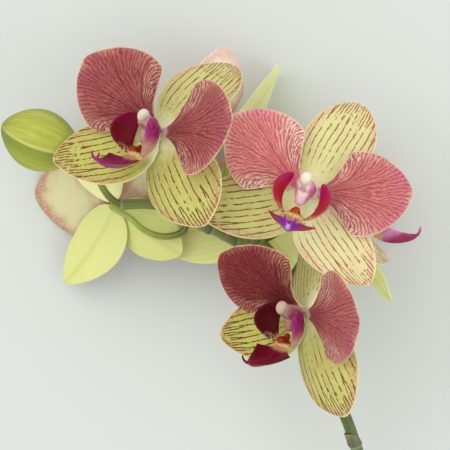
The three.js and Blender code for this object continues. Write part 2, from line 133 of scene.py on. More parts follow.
# %% A flower's turn and place
def turning(pitch, yaw, roll):
    """The matrix that rolls about Z, then pitches about X, then yaws about Y, in degrees."""
    (cx, cy, cz), (sx, sy, sz) = (f(np.radians([pitch, yaw, roll])) for f in (np.cos, np.sin))
    about_x = np.array([[1, 0, 0], [0, cx, -sx], [0, sx, cx]])
    about_y = np.array([[cy, 0, sy], [0, 1, 0], [-sy, 0, cy]])
    about_z = np.array([[cz, -sz, 0], [sz, cz, 0], [0, 0, 1]])
    return about_y @ about_x @ about_z


def in_place(flower, points):
    """Points of a flower's own frame, turned and moved to where that flower grows."""
    spec = FLOWERS[flower]
    return points @ turning(*spec["turned"]).T + spec["at"]


print("flowers:", ", ".join(FLOWERS))


# %% Small rules that many pieces share
def evenly(first, last, u):
    """From first, where u is 0, in an even run to last, where u is 1."""
    return first * (1 - u) + last * u


def bell(away, width):
    """A bell curve, exp(-(away / width)^2): 1 in its middle, and almost gone at twice its width."""
    return np.exp(-(away / width) ** 2)


def round_angles(count):
    """The angles of this many even steps round a full turn."""
    return np.arange(count) * 2 * np.pi / count

# %% [markdown]
# ## From a grid to a mesh
#
# Every surface below is a function of two parameters, worked out on a whole grid at once. This
# step turns such a grid of points into a Blender mesh. A grid can close on itself the long way
# round, as a tube does, and its two ends can be capped with a point. Anything that a material
# needs to know, such as how far a point is from the petal's edge, is stored beside the points as
# an attribute, so that the pattern follows the surface wherever the flower is turned.

# %% Grids to meshes
MERGED_WITHIN = 1e-6
THINNEST_FACE = 1e-7
NEXT_TO_NOTHING = 1e-9


def grid_faces(rows, columns, wrap):
    """Quads of a grid with this many rows and columns of points, closed across if wrap is set."""
    across = columns if wrap else columns - 1
    i, j = np.meshgrid(np.arange(rows - 1), np.arange(across), indexing="ij")
    here = i * columns + j
    beside = i * columns + (j + 1) % columns
    return np.stack([here, beside, beside + columns, here + columns], axis=-1).reshape(-1, 4)


def build_mesh(name, points, faces, attributes):
    """A mesh from points in millimetres in the head's frame, with its attributes.

    An attribute holds one number for each point, or three.
    """
    mesh = bpy.data.meshes.new(name)
    placed = (points.reshape(-1, 3) + HEAD) * MM
    mesh.from_pydata(placed.tolist(), [], faces.tolist())
    for key, values in attributes.items():
        wide = np.size(values) > len(placed)
        layer = mesh.attributes.new(key, "FLOAT_VECTOR" if wide else "FLOAT", "POINT")
        layer.data.foreach_set("vector" if wide else "value", np.asarray(values, np.float32).ravel())
    return mesh


def finish_piece(mesh, node, material):
    """Puts a mesh in the scene, under its own name, in place of a CAD node.

    Corners that fall together are merged, so poles and rims close, and every face is turned
    outwards.
    """
    shape = bmesh.new()
    shape.from_mesh(mesh)
    bmesh.ops.remove_doubles(shape, verts=shape.verts, dist=MERGED_WITHIN)
    bmesh.ops.dissolve_degenerate(shape, edges=shape.edges, dist=THINNEST_FACE)
    bmesh.ops.recalc_face_normals(shape, faces=shape.faces)
    shape.to_mesh(mesh)
    shape.free()
    mesh.shade_smooth()
    mesh.materials.append(material)
    piece = bpy.data.objects.new(mesh.name, mesh)
    bpy.context.scene.collection.objects.link(piece)
    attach(piece, "root")
    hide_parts(node)


def join_grids(parts):
    """Joins several (points, faces, attributes) into one, with the faces counted on."""
    points, faces, notes = zip(*parts)
    starts = np.cumsum([0, *map(len, points)])
    counted = [quads + start for quads, start in zip(faces, starts)]
    merged = {key: np.concatenate([np.ravel(note[key]) for note in notes]) for key in notes[0]}
    return np.concatenate(points), np.concatenate(counted), merged

# %% [markdown]
# ## Colours and the sums inside a material
#
# A pattern such as forking veins is a sum: distances, sines and noise added together. Blender
# holds such a sum as a chain of Math nodes. `Sum` lets it be written the way one writes it on
# paper, and each plus or times adds its node. Colours are written as they look on a screen, and
# `paint` turns them into the straight values that the shader wants. The numbers in a finish are
# shares from 0 to 1, or millimetres where they are set against a length, or the scale of a noise,
# which is how many of its blotches go into one unit of the place that it reads.

# %% Sums and colours in materials
def paint(red, green, blue):
    """A screen colour, 0 to 255, as the linear colour that Blender's shaders use."""
    value = np.array([red, green, blue]) / 255
    linear = np.where(value <= 0.04045, value / 12.92, ((value + 0.055) / 1.055) ** 2.4)
    return (*linear.tolist(), 1.0)


def math_step(operation):
    """A method of Sum that adds the Math node of one operation."""
    def method(self, *others):
        return self.step(operation, *others)
    return method


class Sum:
    """One number that flows through a material. Arithmetic on it adds Math nodes."""

    def __init__(self, tree, socket):
        self.tree = tree
        self.socket = socket

    def step(self, operation, *others, clamp=False):
        """What a new Math node makes of this number and the others."""
        node = self.tree.nodes.new("ShaderNodeMath")
        node.operation = operation
        node.use_clamp = clamp
        for entry, value in zip(node.inputs, (self, *others)):
            connect(self.tree, value, entry)
        return Sum(self.tree, node.outputs[0])

    __add__ = math_step("ADD")
    __sub__ = math_step("SUBTRACT")
    __mul__ = math_step("MULTIPLY")
    __truediv__ = math_step("DIVIDE")
    __pow__ = math_step("POWER")
    __abs__ = math_step("ABSOLUTE")
    floor = math_step("FLOOR")
    fraction = math_step("FRACT")
    least = math_step("MINIMUM")
    most = math_step("MAXIMUM")

    def clamped(self):
        """This number, held between 0 and 1."""
        return self.step("ADD", 0.0, clamp=True)

    def rising(self, low, high):
        """0 below low and 1 above high, with a smooth rise between."""
        node = self.tree.nodes.new("ShaderNodeMapRange")
        node.interpolation_type = "SMOOTHSTEP"
        for name, value in (("Value", self), ("From Min", low), ("From Max", high)):
            connect(self.tree, value, node.inputs[name])
        return Sum(self.tree, node.outputs["Result"])

    def falling(self, low, high):
        """1 below low and 0 above high, with a smooth fall between."""
        return self.rising(low, high) * -1.0 + 1.0


def connect(tree, value, entry):
    """Puts a number or a screen colour on a socket, or links another socket to it."""
    if isinstance(value, Sum):
        value = value.socket
    if isinstance(value, bpy.types.NodeSocket):
        tree.links.new(value, entry)
    else:
        entry.default_value = paint(*value) if isinstance(value, tuple) else value


# %% A finish and its nodes
class Finish:
    """A material under construction, with the few nodes that its pattern is made of."""

    COLOUR_INPUTS = (6, 7)
    COLOUR_OUTPUT = 2

    def __init__(self, name):
        self.material = bpy.data.materials.new(name)
        self.material.use_nodes = True
        self.tree = self.material.node_tree
        self.shader = self.tree.nodes["Principled BSDF"]

    def node(self, kind, **inputs):
        """A new node of this kind, with a value or a link on each of the inputs named."""
        node = self.tree.nodes.new("ShaderNode" + kind)
        for name, value in inputs.items():
            connect(self.tree, value, node.inputs[name])
        return node

    def stored(self, name):
        node = self.node("Attribute")
        node.attribute_name = name
        return node

    def attribute(self, name):
        """The number that each point of the mesh carries under this name."""
        return Sum(self.tree, self.stored(name).outputs["Fac"])

    def place(self, name):
        """The three numbers that each point of the mesh carries under this name."""
        return self.stored(name).outputs["Vector"]

    def object_place(self):
        return self.node("TexCoord").outputs["Object"]

    def parts_of(self, place):
        node = self.node("SeparateXYZ", Vector=place)
        return [Sum(self.tree, entry) for entry in node.outputs]

    def point(self, x, y, z):
        return self.node("CombineXYZ", X=x, Y=y, Z=z).outputs[0]

    def noise(self, where, scale, detail):
        node = self.node("TexNoise", Vector=where, Scale=scale, Detail=detail)
        return Sum(self.tree, node.outputs["Fac"])

    def dice(self, where):
        """A random number from 0 to 1 for each whole number of where."""
        node = self.node("TexWhiteNoise", Vector=where)
        return Sum(self.tree, node.outputs["Value"])

    def cells(self, where, scale):
        """The distance from the walls of a net of irregular cells."""
        node = self.node("TexVoronoi", Vector=where, Scale=scale)
        node.feature = "DISTANCE_TO_EDGE"
        return Sum(self.tree, node.outputs["Distance"])

    def blend(self, amount, first, second):
        """The first colour where amount is 0 and the second where it is 1.

        A Mix node has sockets for numbers, for places and for colours, all with the same names, so
        those for colours are taken by their number.
        """
        node = self.node("Mix", Factor=amount)
        node.data_type = "RGBA"
        for number, colour in zip(self.COLOUR_INPUTS, (first, second)):
            connect(self.tree, colour, node.inputs[number])
        return node.outputs[self.COLOUR_OUTPUT]

    def coated(self, colour, *coats):
        """A colour with others over it in turn. A coat is how much of it covers and its colour."""
        for amount, coat in coats:
            colour = self.blend(amount, colour, coat)
        return colour

    def relief(self, height, strength, distance):
        node = self.node("Bump", Height=height, Strength=strength, Distance=distance)
        self.tree.links.new(node.outputs["Normal"], self.shader.inputs["Normal"])

    def surface(self, colour, roughness, **constants):
        connect(self.tree, colour, self.shader.inputs["Base Color"])
        connect(self.tree, roughness, self.shader.inputs["Roughness"])
        for name, value in constants.items():
            self.shader.inputs[name.replace("_", " ")].default_value = value
        return self.material


def from_centre(place, centre, spread=(1.0, 1.0, 1.0)):
    """How far a place is from a centre: the root of each axis's square over its own spread."""
    squares = []
    for value, middle, divisor in zip(place, centre, spread):
        away = value - middle
        squares.append(away * away / divisor)
    return (squares[0] + squares[1] + squares[2]) ** 0.5

# %% [markdown]
# ## Petals and sepals
#
# The three sepals and two petals of a moth orchid are thin, waxy blades. A petal is a broad fan on
# a narrow claw, and a sepal is a pointed oval. One could draw each by hand, but their flat outlines
# follow short formulas. The flat shape is rolled along its length into a gentle arc and cupped
# across, and the blade gets its thickness along the surface's normal. The thickness runs out to
# nothing at the rim, which makes the edge round instead of cut.
# The solids have flat facets, so three small things are added here: the crease of the midrib, a
# slow wave of the edges, and a surface fine enough to look smooth. Where a blade would then go
# through the floor, it bends to rest on it.

# %% The outline and the middle surface
def leaf_share(shape, s):
    """A leaf's outline s^peak (1 - s)^full, from 0 at its ends to 1 where it is widest."""
    def leaf(u):
        return u ** shape["peak"] * (1 - u) ** shape["full"]
    return leaf(s) / leaf(shape["peak"] / (shape["peak"] + shape["full"]))


def petal_flat(length, width, s, t):
    """A fan: the ray t turns aside and shortens towards the sides, and s runs out along it."""
    ray = np.radians(FAN["angle"]) * t * (1 - FAN["flare"] * (1 - s) ** 2)
    shortening = FAN["drop"] * np.abs(t) ** FAN["power"] + FAN["corner"] * t ** 8
    reach = s * length * (1 - shortening)
    aside = reach * np.sin(ray) * FAN["widen"] * width / length
    return reach * np.cos(ray), aside + t * PETAL["claw"] * (1 - s) / 2


def sepal_flat(shape, side, length, width, s, t):
    """An oval over a claw that tapers, with its midrib swept aside."""
    narrow = evenly(SEPAL["claw"] / 2, SEPAL["tip"], s)
    half = narrow + (width / 2 - narrow) * leaf_share(shape, s)
    return length * s, half * t + side * shape["sweep"] * length * s * s


def tepal_flat(name, spec, s, t):
    """A point's distance along the blade and across it, in millimetres, before it is bent."""
    length, width = spec[name][4:]
    if name.endswith("petal"):
        return petal_flat(length, width, s, t)
    side = -1 if name.startswith("left") else 1
    return sepal_flat(DORSAL if name.startswith("dorsal") else LATERAL, side, length, width, s, t)


def is_set_back(name, spec):
    """The top sepal grows from behind the side ones, and so does the flatter side sepal."""
    if name.endswith("petal"):
        return False
    lower = "left_sepal" if spec["left_sepal"][1] < spec["right_sepal"][1] else "right_sepal"
    return name in ("dorsal_sepal", lower)


def tepal_middle(name, spec, s, t):
    """The blade's middle surface: the flat shape rolled along its length and cupped across.

    The roll is an arc of radius length / bend, which starts at the lean. The cup lifts a point by
    the square of its distance from the midrib.
    """
    turn, lean, bend = np.radians(spec[name][:3])
    cup, length, width = spec[name][3:]
    along, across = tepal_flat(name, spec, s, t)
    root = PETAL if name.endswith("petal") else SEPAL
    slope = lean + bend * along / length
    lift = cup * across ** 2 / (width / 2)
    radius = length / bend
    reach = root["start"] + radius * (np.sin(slope) - np.sin(lean)) - lift * np.sin(slope)
    depth = root["front"] - SET_BACK * is_set_back(name, spec)
    out = depth - radius * (np.cos(slope) - np.cos(lean)) + lift * np.cos(slope)
    x = reach * np.cos(turn) - across * np.sin(turn)
    y = reach * np.sin(turn) + across * np.cos(turn)
    return np.stack([x, y, out], axis=-1)

# %% [markdown]
# A pattern of veins needs to know where it is on the blade: how far along and across, how far from
# the rim, and in which lane. Lanes are what the veins follow. They start side by side in the claw.
# On a petal they lean outwards and run out on the side edges. On a sepal they widen with the
# outline as far as the widest place, and from there they run straight on and out at the edge.

# %% What a blade knows about itself
BLADE_ROWS = 56
BLADE_COLUMNS = 52
BLADE_THICKNESS = 0.9
RIM_POWER = {"side": 10, "tip": 24}
CREASE = {"depth": 0.3, "width": 0.8, "run": 1.15}
LANDING = {"gap": 0.5, "soft": 0.6}
WAVE = {"petal": 0.55, "sepal": 0.35, "count": 3.5, "along": 1.3, "aside": 0.35, "shift": 6.3}
RIPPLE = {"share": 0.5, "count": 7.7, "aside": 4, "shift": 20}
WAVE_POWER = {"along": 2, "aside": 2.5}
LEANING_LANES = 0.5
STRAIGHT_LANES = 0.85
GOLDEN_SHARE = 0.61803
PATTERN_SHIFT = 90


def hash_of(words):
    """A number from 0 to 1 that is always the same for the same words."""
    return sum((i + 1) * ord(letter) for i, letter in enumerate(words)) * GOLDEN_SHARE % 1


def normals_of(grid):
    """Unit normals of a grid of points: the cross product of its two directions."""
    down = np.gradient(grid, axis=0)
    over = np.gradient(grid, axis=1)
    normal = np.cross(down, over)
    size = np.linalg.norm(normal, axis=-1, keepdims=True)
    return normal / np.maximum(size, NEXT_TO_NOTHING)


def distances_on(grid):
    """How far each point lies from the rim, and half the blade's width there, in millimetres.

    Steps between neighbours are added up along the rows, from both sides, and from the tip back.
    """
    over = np.linalg.norm(np.diff(grid, axis=1), axis=-1)
    from_left = np.pad(np.cumsum(over, axis=1), ((0, 0), (1, 0)))
    from_right = from_left[:, -1:] - from_left
    down = np.linalg.norm(np.diff(grid, axis=0), axis=-1)
    from_base = np.pad(np.cumsum(down, axis=0), ((1, 0), (0, 0)))
    from_tip = from_base[-1:] - from_base
    return np.minimum(np.minimum(from_left, from_right), from_tip), from_left[:, -1:] / 2


def lanes_of(name, s, t, half):
    """The lane, -1 to 1, that a point of the blade is in, and how many millimetres 1 lane spans."""
    if name.endswith("petal"):
        drawn_in = 1 - LEANING_LANES * s
    else:
        drawn_in = (half / np.maximum.accumulate(half, axis=0)) ** STRAIGHT_LANES
    return t * drawn_in, half / drawn_in


# %% The wave of the edges, and the rest on the floor
def ruffled(name, grid, normal, s, t, half, seed):
    """The grid with its edges waved along the normal and its midrib creased.

    The wave is a slow sine and a share of a quick one, which grow as s^2 |t|^2.5 towards the edge.
    The crease is a bell curve across the midrib.
    """
    kind = "petal" if name.endswith("petal") else "sepal"
    place = s * WAVE["along"] + WAVE["aside"] * np.abs(t)
    wave = np.sin(WAVE["count"] * np.pi * place + WAVE["shift"] * seed)
    ripple = np.sin(RIPPLE["count"] * s * np.pi + RIPPLE["aside"] * t + RIPPLE["shift"] * seed)
    wave = WAVE[kind] * (wave + RIPPLE["share"] * ripple)
    lift = wave * s ** WAVE_POWER["along"] * np.abs(t) ** WAVE_POWER["aside"]
    crease = bell(t * half, CREASE["width"]) * np.sin(np.pi * np.minimum(s * CREASE["run"], 1))
    return grid + normal * (lift - CREASE["depth"] * crease)[..., None]


def landing(height):
    """How far a point at some height is raised, so that a blade bends to rest on the floor.

    The rise is soft log(1 + exp((gap - height) / soft)): next to nothing well above the floor, and
    just enough to keep a blade's middle a small gap over it where the blade would go through.
    """
    return LANDING["soft"] * np.logaddexp(0, (LANDING["gap"] - height) / LANDING["soft"])


# %% A blade as one mesh
def tepal_notes(flower, name, s, t, rim, half):
    """What the points of a blade's front, and then of its back, carry for the finish.

    "flat" is the place on the flat shape, shifted to a part of the noise of its own. "blade" is s,
    t and the lane, and "widths" the distance from the rim, the half width and the lane's span.
    """
    lane, span = lanes_of(name, s, t, half)
    along, across = tepal_flat(name, FLOWERS[flower], s, t)
    blank = 0 * s
    threes = {
        "flat": [along, across, PATTERN_SHIFT * hash_of(flower + name) + blank],
        "blade": [s, t, lane],
        "widths": [rim, half + blank, span + blank],
    }
    notes = {key: np.stack([np.stack(three, axis=-1)] * 2) for key, three in threes.items()}
    notes["front"] = np.repeat([1.0, 0.0], s.size)
    notes["tint"] = np.full(2 * s.size, TINTS_AND_PAINTED_LIGHT[flower][TEPALS.index(name)])
    return notes


def tepal_mesh(flower, name):
    """Front, back and the strip that closes the base, as one mesh with its notes."""
    v = np.linspace(0, 1, BLADE_ROWS)[:, None]
    w = np.linspace(-1, 1, BLADE_COLUMNS)[None, :]
    s = np.sin(v * np.pi / 2) + 0 * w
    t = np.sin(w * np.pi / 2) + 0 * v
    middle = tepal_middle(name, FLOWERS[flower], s, t)
    normal = normals_of(middle)
    rim, half = distances_on(middle)
    middle = ruffled(name, middle, normal, s, t, half, hash_of(flower + name))
    fading = (1 - np.abs(t) ** RIM_POWER["side"]) * (1 - s ** RIM_POWER["tip"])
    depth = normal * (BLADE_THICKNESS / 2 * np.sqrt(fading))[..., None]
    points = in_place(flower, np.stack([middle + depth, middle - depth]).reshape(-1, 3))
    points[:, 2] += np.tile(landing(in_place(flower, middle.reshape(-1, 3))[:, 2]), 2)

    quads = grid_faces(BLADE_ROWS, BLADE_COLUMNS, False)
    row = np.arange(BLADE_COLUMNS - 1)
    base = np.stack([row, row + 1, row + 1 + s.size, row + s.size], axis=-1)
    faces = np.concatenate([quads, quads + s.size, base])
    notes = tepal_notes(flower, name, s, t, rim, half)
    return build_mesh(f"{flower}_{name}", points, faces, notes)

# %% [markdown]
# ## The finish of the petals
#
# A petal of this kind is a peach fan, flushed with dusty rose, with crimson veins. The veins leave
# the claw side by side, fork again and again on their way out, and stop short of a cream rim.
# A painted image would be the quick way, but this one is a sum. Across the petal, the distance from
# the nearest vein is a folded line. Folding it once more from a certain radius outwards makes each
# vein part into two, and noise on the coordinates keeps the forks from lining up. The back of a
# petal is paler, and only a shadow of the pattern shows through it.

# %% Veins
FORK = {"offset": 0.25, "length": 0.2, "scatter": 0.2, "unrest": 0.7}
WANDER = {"scale": 0.11, "detail": 1.0, "size": 3.0}
SHIVER = {"scale": 0.5, "detail": 2.0, "size": 1.6}
CALM_IN_CLAW = 3.0


def vein_distance(finish, flat, s, lane, span, veins, forks, unrest):
    """The distance in millimetres from the nearest of many veins that fork on their way out.

    The lane times the number of veins is cut into cells, with a vein in the middle of each. From
    the radius of a fork outwards, the distance from the vein is folded about a growing offset,
    which parts it into two. Noise of about unrest millimetres makes the veins wander and shiver.
    """
    wander = finish.noise(flat, WANDER["scale"], WANDER["detail"]) - 0.5
    shiver = finish.noise(flat, SHIVER["scale"], SHIVER["detail"]) - 0.5
    aside = wander * (WANDER["size"] * unrest) + shiver * (SHIVER["size"] * unrest)
    across = (lane + aside / (span + CALM_IN_CLAW)) * (veins / 2)
    chance = finish.dice(finish.point(across.floor(), 5.0, 2.0))
    away = abs(across.fraction() - 0.5)
    offset = FORK["offset"]
    for number, start in enumerate(forks):
        begin = chance * FORK["scatter"] + (start - FORK["scatter"] / 2)
        if number:
            begin = begin + (finish.noise(flat, 0.21 + 0.1 * number, 1.0) - 0.5) * FORK["unrest"]
        growth = ((s - begin) / FORK["length"]).clamped()
        away = abs(away - growth * offset)
        offset /= 2
    return away / (veins / 2) * span


# %% Petal material
def petal_finish():
    petal = Finish("petal")
    flat = petal.place("flat")
    s, t, lane = petal.parts_of(petal.place("blade"))
    rim, _, span = petal.parts_of(petal.place("widths"))
    front = petal.attribute("front").rising(0.3, 0.7)
    tint = petal.attribute("tint")
    cloud = petal.noise(flat, 0.12, 3.0) - 0.5
    fleck = petal.noise(flat, 0.9, 3.0)

    distance = vein_distance(petal, flat, s, lane, span, 17, (0.24, 0.56), 1.3)
    width = petal.noise(flat, 0.4, 1.0) * 0.7 + 0.08
    line = distance.falling(width * 0.3, width)
    net = petal.cells(flat, 0.42).falling(0.02, 0.12)
    open_side = (abs(t) + cloud * 1.1).rising(0.42, 0.98) * s.rising(0.15, 0.4)
    near_rim = (rim + cloud * 6.0).falling(0.0, 4.0)
    light = open_side.most(near_rim * 0.6)
    line = line.most(net * light * 0.7)
    bold = vein_distance(petal, flat, s, lane, span, 7, (), 0.6)
    bold = bold.falling(0.1, 0.45) * s.rising(0.1, 0.3) * (s + cloud * 0.8).falling(0.6, 0.95)
    line = line.most(bold) * (rim + cloud * 2.0).rising(0.2, 1.2)

    peach = petal.blend(tint, (196, 126, 104), (244, 208, 186))
    rose = petal.blend(tint, (130, 44, 42), (226, 138, 132))
    dusk = petal.blend(tint, (138, 46, 58), (220, 116, 148))
    crimson = petal.blend(tint, (60, 2, 10), (168, 56, 66))
    pale = petal.blend(tint, (184, 98, 84), (248, 196, 172))
    outer = (s + cloud * 0.9).rising(0.78, 1.05) * open_side.falling(0.1, 0.6)
    edge = (rim + cloud * 1.2 + fleck * 0.6).falling(0.25, 0.9)
    ground = petal.coated(
        petal.blend(light, rose, peach),
        (outer * 0.6, dusk),
        (fleck.rising(0.5, 0.72) * 0.32, pale),
        (line * (light * 0.3 + 0.58), crimson),
        (bold * 0.5, crimson),
        (edge * 0.75, (222, 214, 156)),
        (s.falling(0.02, 0.12) * 0.85, (238, 208, 206)),
    )

    netted = line.most(net) * (rim + cloud * 14.0).falling(1.0, 7.0)
    rosy = petal.blend(tint, (172, 92, 84), (240, 192, 176))
    vein = petal.blend(tint, (150, 70, 62), (220, 150, 150))
    reverse = petal.coated(
        petal.blend(tint, (214, 206, 142), (255, 246, 226)),
        ((rim + cloud * 16.0).falling(0.0, 12.0) * 0.6, rosy),
        (netted * (tint * -0.25 + 0.65), vein),
    )
    colour = petal.blend(front, reverse, ground)
    petal.relief(line * -1.0 + fleck * 0.4, 0.3, 0.0004)
    return petal.surface(
        colour, 0.5, Subsurface_Weight=0.1, Subsurface_Scale=0.0015, Specular_IOR_Level=0.14,
    )

# %% [markdown]
# ## The finish of the sepals
#
# The sepals are yellow green with thin red-brown stripes along them. The stripes are broken into
# strings of dashes and dots, they are pinker and branch towards the edges, and the rim is a pale
# line. The same folded distance draws them, with one late fork, and noise along each stripe breaks
# it up. Near the middle of the flower the side sepals carry loose brown spots.

# %% Sepal material
def sepal_finish():
    sepal = Finish("sepal")
    flat = sepal.place("flat")
    s, t, lane = sepal.parts_of(sepal.place("blade"))
    rim, half, span = sepal.parts_of(sepal.place("widths"))
    front = sepal.attribute("front").rising(0.3, 0.7)
    tint = sepal.attribute("tint")
    cloud = sepal.noise(flat, 0.11, 3.0) - 0.5
    grain = sepal.noise(flat, 0.9, 2.0)

    distance = vein_distance(sepal, flat, s, lane, span, 11, (0.7,), 0.5)
    beads = sepal.noise(flat, 0.55, 1.0)
    gaps = sepal.noise(flat, 0.15, 1.0)
    side = (abs(t) + cloud * 0.8).rising(0.3, 0.95)
    width = beads * (tint * -0.16 + 0.62)
    line = distance.falling(width * 0.45, width + 0.1)
    line = line * (gaps + beads * 0.7 + side * 0.2).rising(0.66, 0.86)
    line = line * (s + cloud * 0.4).rising(0.16, 0.36) * (rim + cloud * 2.0).rising(0.3, 1.2)
    edge = (rim + cloud * 6.0).falling(0.5, 6.0) * s.rising(0.25, 0.6)
    net = sepal.cells(flat, 0.34).falling(0.015, 0.09) * edge * (rim + cloud).rising(0.3, 1.0)
    spots = sepal.cells(flat, 0.3).rising(0.26, 0.36) * s.rising(0.08, 0.14) * s.falling(0.24, 0.34)

    lime = sepal.blend(tint, (182, 184, 66), (230, 226, 166))
    olive = sepal.blend(tint, (176, 160, 60), (230, 216, 160))
    blush = sepal.blend(tint, (190, 148, 88), (234, 194, 160))
    stripe = sepal.blend(tint, (72, 22, 8), (160, 78, 64))
    branch = sepal.blend(tint, (130, 60, 44), (200, 112, 108))
    ground = sepal.coated(
        sepal.blend((cloud + 0.5).rising(0.35, 0.7), lime, olive),
        (edge * 0.6, blush),
        ((s + cloud * 0.2).falling(0.04, 0.26) * 0.8, (232, 234, 186)),
        ((grain - 0.5) * 0.6 + 0.05, (238, 230, 160)),
        (line * 0.92, stripe),
        (net * 0.5, branch),
        (spots * 0.5, (140, 84, 40)),
        ((rim + cloud * 0.8).falling(0.15, 0.8) * 0.6, (232, 228, 172)),
    )

    # The back is darker green down the midrib, which is painted shade of its crease, and faintly along
    # the stripes.
    rib = distance.falling(0.2, 0.9) * 0.05 + (abs(t) * half).falling(0.3, 2.2) * 0.22
    reverse = sepal.coated(
        sepal.blend(tint, (186, 188, 84), (255, 255, 184)),
        ((cloud + 0.5).rising(0.35, 0.75) * 0.25, (216, 220, 120)),
        (rib, (170, 184, 80)),
    )
    colour = sepal.blend(front, reverse, ground)
    sepal.relief(line * -0.6 + grain * 0.5, 0.3, 0.0004)
    return sepal.surface(
        colour, 0.48, Subsurface_Weight=0.1, Subsurface_Scale=0.0015, Specular_IOR_Level=0.18,
    )

# %% [markdown]
# No two tepals are quite the same colour: the third flower's petals are the darkest crimson, and
# the middle flower's are a light pink. One number for each tepal sets that, from 0, the deepest,
# to 1, the palest. It is stored on the blade as `tint`. The number also paints light: tepals that
# lie in the shade of other flowers, mostly the backs of the flowers behind, are set paler than
# their own colour, to lift that shade.

# %% The petals and sepals of each flower
# Painted light: the tepals in the shade of other flowers are set paler than their own colour.
TINTS_AND_PAINTED_LIGHT = {
    "a": (0.5, 0.15, 0.25, 0.26, 0.3),
    "b": (0.75, 0.4, 1.0, 1.0, 0.65),
    "c": (0.9, 0.12, 0.3, 0.0, 0.4),
    "d": (0.9, 0.4, 0.5, 0.6, 0.2),
    "e": (0.6, 1.0, 0.6, 0.6, 0.6),
    "f": (1.0, 0.7, 0.7, 0.9, 1.0),
    "g": (0.7, 1.0, 1.0, 0.9, 0.9),
}
FINISH_OF = {"petal": petal_finish(), "sepal": sepal_finish()}

for flower in FLOWERS:
    for name in TEPALS:
        kind = name.split("_")[-1]
        finish_piece(tepal_mesh(flower, name), f"flower_{flower}_{name}", FINISH_OF[kind])
    print("petals and sepals of flower", flower)

# %% [markdown]
# ## The lip
#
# The lip is the flower's landing place. Two side lobes stand up like cupped hands beside the
# column, a middle lobe runs forward as an arrowhead with two short tendrils, and where the three
# meet there is a hard orange and red callus. It grows as one piece, so it is one mesh here. The
# lobes are thin blades, as the petals are. The callus, the claw and the swelling between them run
# into each other like wax, so they are first made as plain rounded grids, and Blender's voxel
# remesh then draws one skin round them all, which is relaxed until the joins are soft.

# %% Curves and rounded surfaces
UP = np.array([0.0, 0.0, 1.0])
SKIN_CELL = 0.3
SHELL_POWER = {"side": 6, "tip": 12, "root": 30}


def bezier(points, u):
    """A Bezier curve of any degree, by folding its points together with weights 1 - u and u."""
    layers = [np.asarray(point, float) + 0 * u[:, None] for point in points]
    while len(layers) > 1:
        layers = [evenly(a, b, u[:, None]) for a, b in zip(layers, layers[1:])]
    return layers[0]


def unit_rows(rows):
    """Each row of vectors, divided by its length."""
    return rows / np.linalg.norm(rows, axis=-1, keepdims=True)


def tube(line, wide, high, sides, up):
    """Rings round a line: wide and high are each ring's radii, across and along up."""
    tangent = unit_rows(np.gradient(line, axis=0))
    normal = unit_rows(up - tangent * (tangent @ up)[:, None])
    binormal = np.cross(tangent, normal)
    angle = round_angles(sides)
    along_up = normal[:, None] * np.cos(angle)[:, None] * np.reshape(high, (-1, 1, 1))
    aside = binormal[:, None] * np.sin(angle)[:, None] * np.reshape(wide, (-1, 1, 1))
    return line[:, None] + along_up + aside


def half_ball(near):
    """The factor for a tube's radii that closes its end, which is this many radii away."""
    return np.sqrt(np.clip(1 - (1 - np.minimum(near, 1)) ** 2, 0, 1))


def round_ends(u, length, radius):
    """The factor for a tube's radii that closes both its ends with a half ball."""
    return half_ball(np.minimum(u, 1 - u) * length / radius)


def end_heavy(count):
    """Numbers from 0 to 1 that crowd towards both ends, where a tube closes."""
    return (1 - np.cos(np.linspace(0, np.pi, count))) / 2


def knob(centre, radii, rows=22, sides=28):
    """An ellipsoid from pole to pole along Y."""
    polar = np.linspace(0, np.pi, rows)[:, None]
    angle = round_angles(sides)[None, :]
    x = np.sin(polar) * np.cos(angle)
    y = np.cos(polar) + 0 * angle
    z = np.sin(polar) * np.sin(angle)
    return np.stack([x, y, z], axis=-1) * radii + centre


def unit_grid(rows, columns):
    """s from 0 to 1 down the rows and t from -1 to 1 across, both crowded towards the rim."""
    s = end_heavy(rows)[:, None] + np.zeros((1, columns))
    t = np.sin(np.linspace(-1, 1, columns) * np.pi / 2)[None, :] + np.zeros((rows, 1))
    return s, t


def shell(grid, s, t, thick):
    """A blade's front and back as one grid, which closes on itself round a soft rim.

    Its rows run over the front from left to right and home again over the back. Half the
    thickness is full in the middle and goes down to nothing at the sides and at both ends.
    """
    fading = (1 - np.abs(t) ** SHELL_POWER["side"]) * (1 - s ** SHELL_POWER["tip"])
    fading = fading * (1 - (1 - s) ** SHELL_POWER["root"])
    depth = normals_of(grid) * (thick / 2 * np.sqrt(np.clip(fading, 0, 1)))[..., None]
    return np.concatenate([grid + depth, (grid - depth)[:, ::-1]], axis=1)


def as_part(grid, notes=None):
    """A grid that closes on itself, as the points, faces and notes that join_grids takes."""
    rows, columns = grid.shape[:2]
    return grid.reshape(-1, 3), grid_faces(rows, columns, True), notes or {}


# %% One skin round several surfaces
def one_skin(grids, relaxing):
    """One skin round several closed grids: a voxel remesh, smoothed this number of times."""
    points, faces, _ = join_grids([as_part(grid) for grid in grids])
    mesh = bpy.data.meshes.new("rough")
    mesh.from_pydata(points.tolist(), [], faces.tolist())
    helper = bpy.data.objects.new("rough", mesh)
    bpy.context.scene.collection.objects.link(helper)
    remesh = helper.modifiers.new("skin", "REMESH")
    remesh.mode = "VOXEL"
    remesh.voxel_size = SKIN_CELL
    relax = helper.modifiers.new("relax", "SMOOTH")
    relax.iterations = relaxing
    dressed = helper.evaluated_get(bpy.context.evaluated_depsgraph_get())
    skin = bpy.data.meshes.new_from_object(dressed)
    points = np.empty(3 * len(skin.vertices))
    skin.vertices.foreach_get("co", points)
    faces = np.empty(len(skin.loops), int)
    skin.loops.foreach_get("vertex_index", faces)
    bpy.data.objects.remove(helper)
    bpy.data.meshes.remove(mesh)
    bpy.data.meshes.remove(skin)
    return points.reshape(-1, 3), faces.reshape(-1, 4)


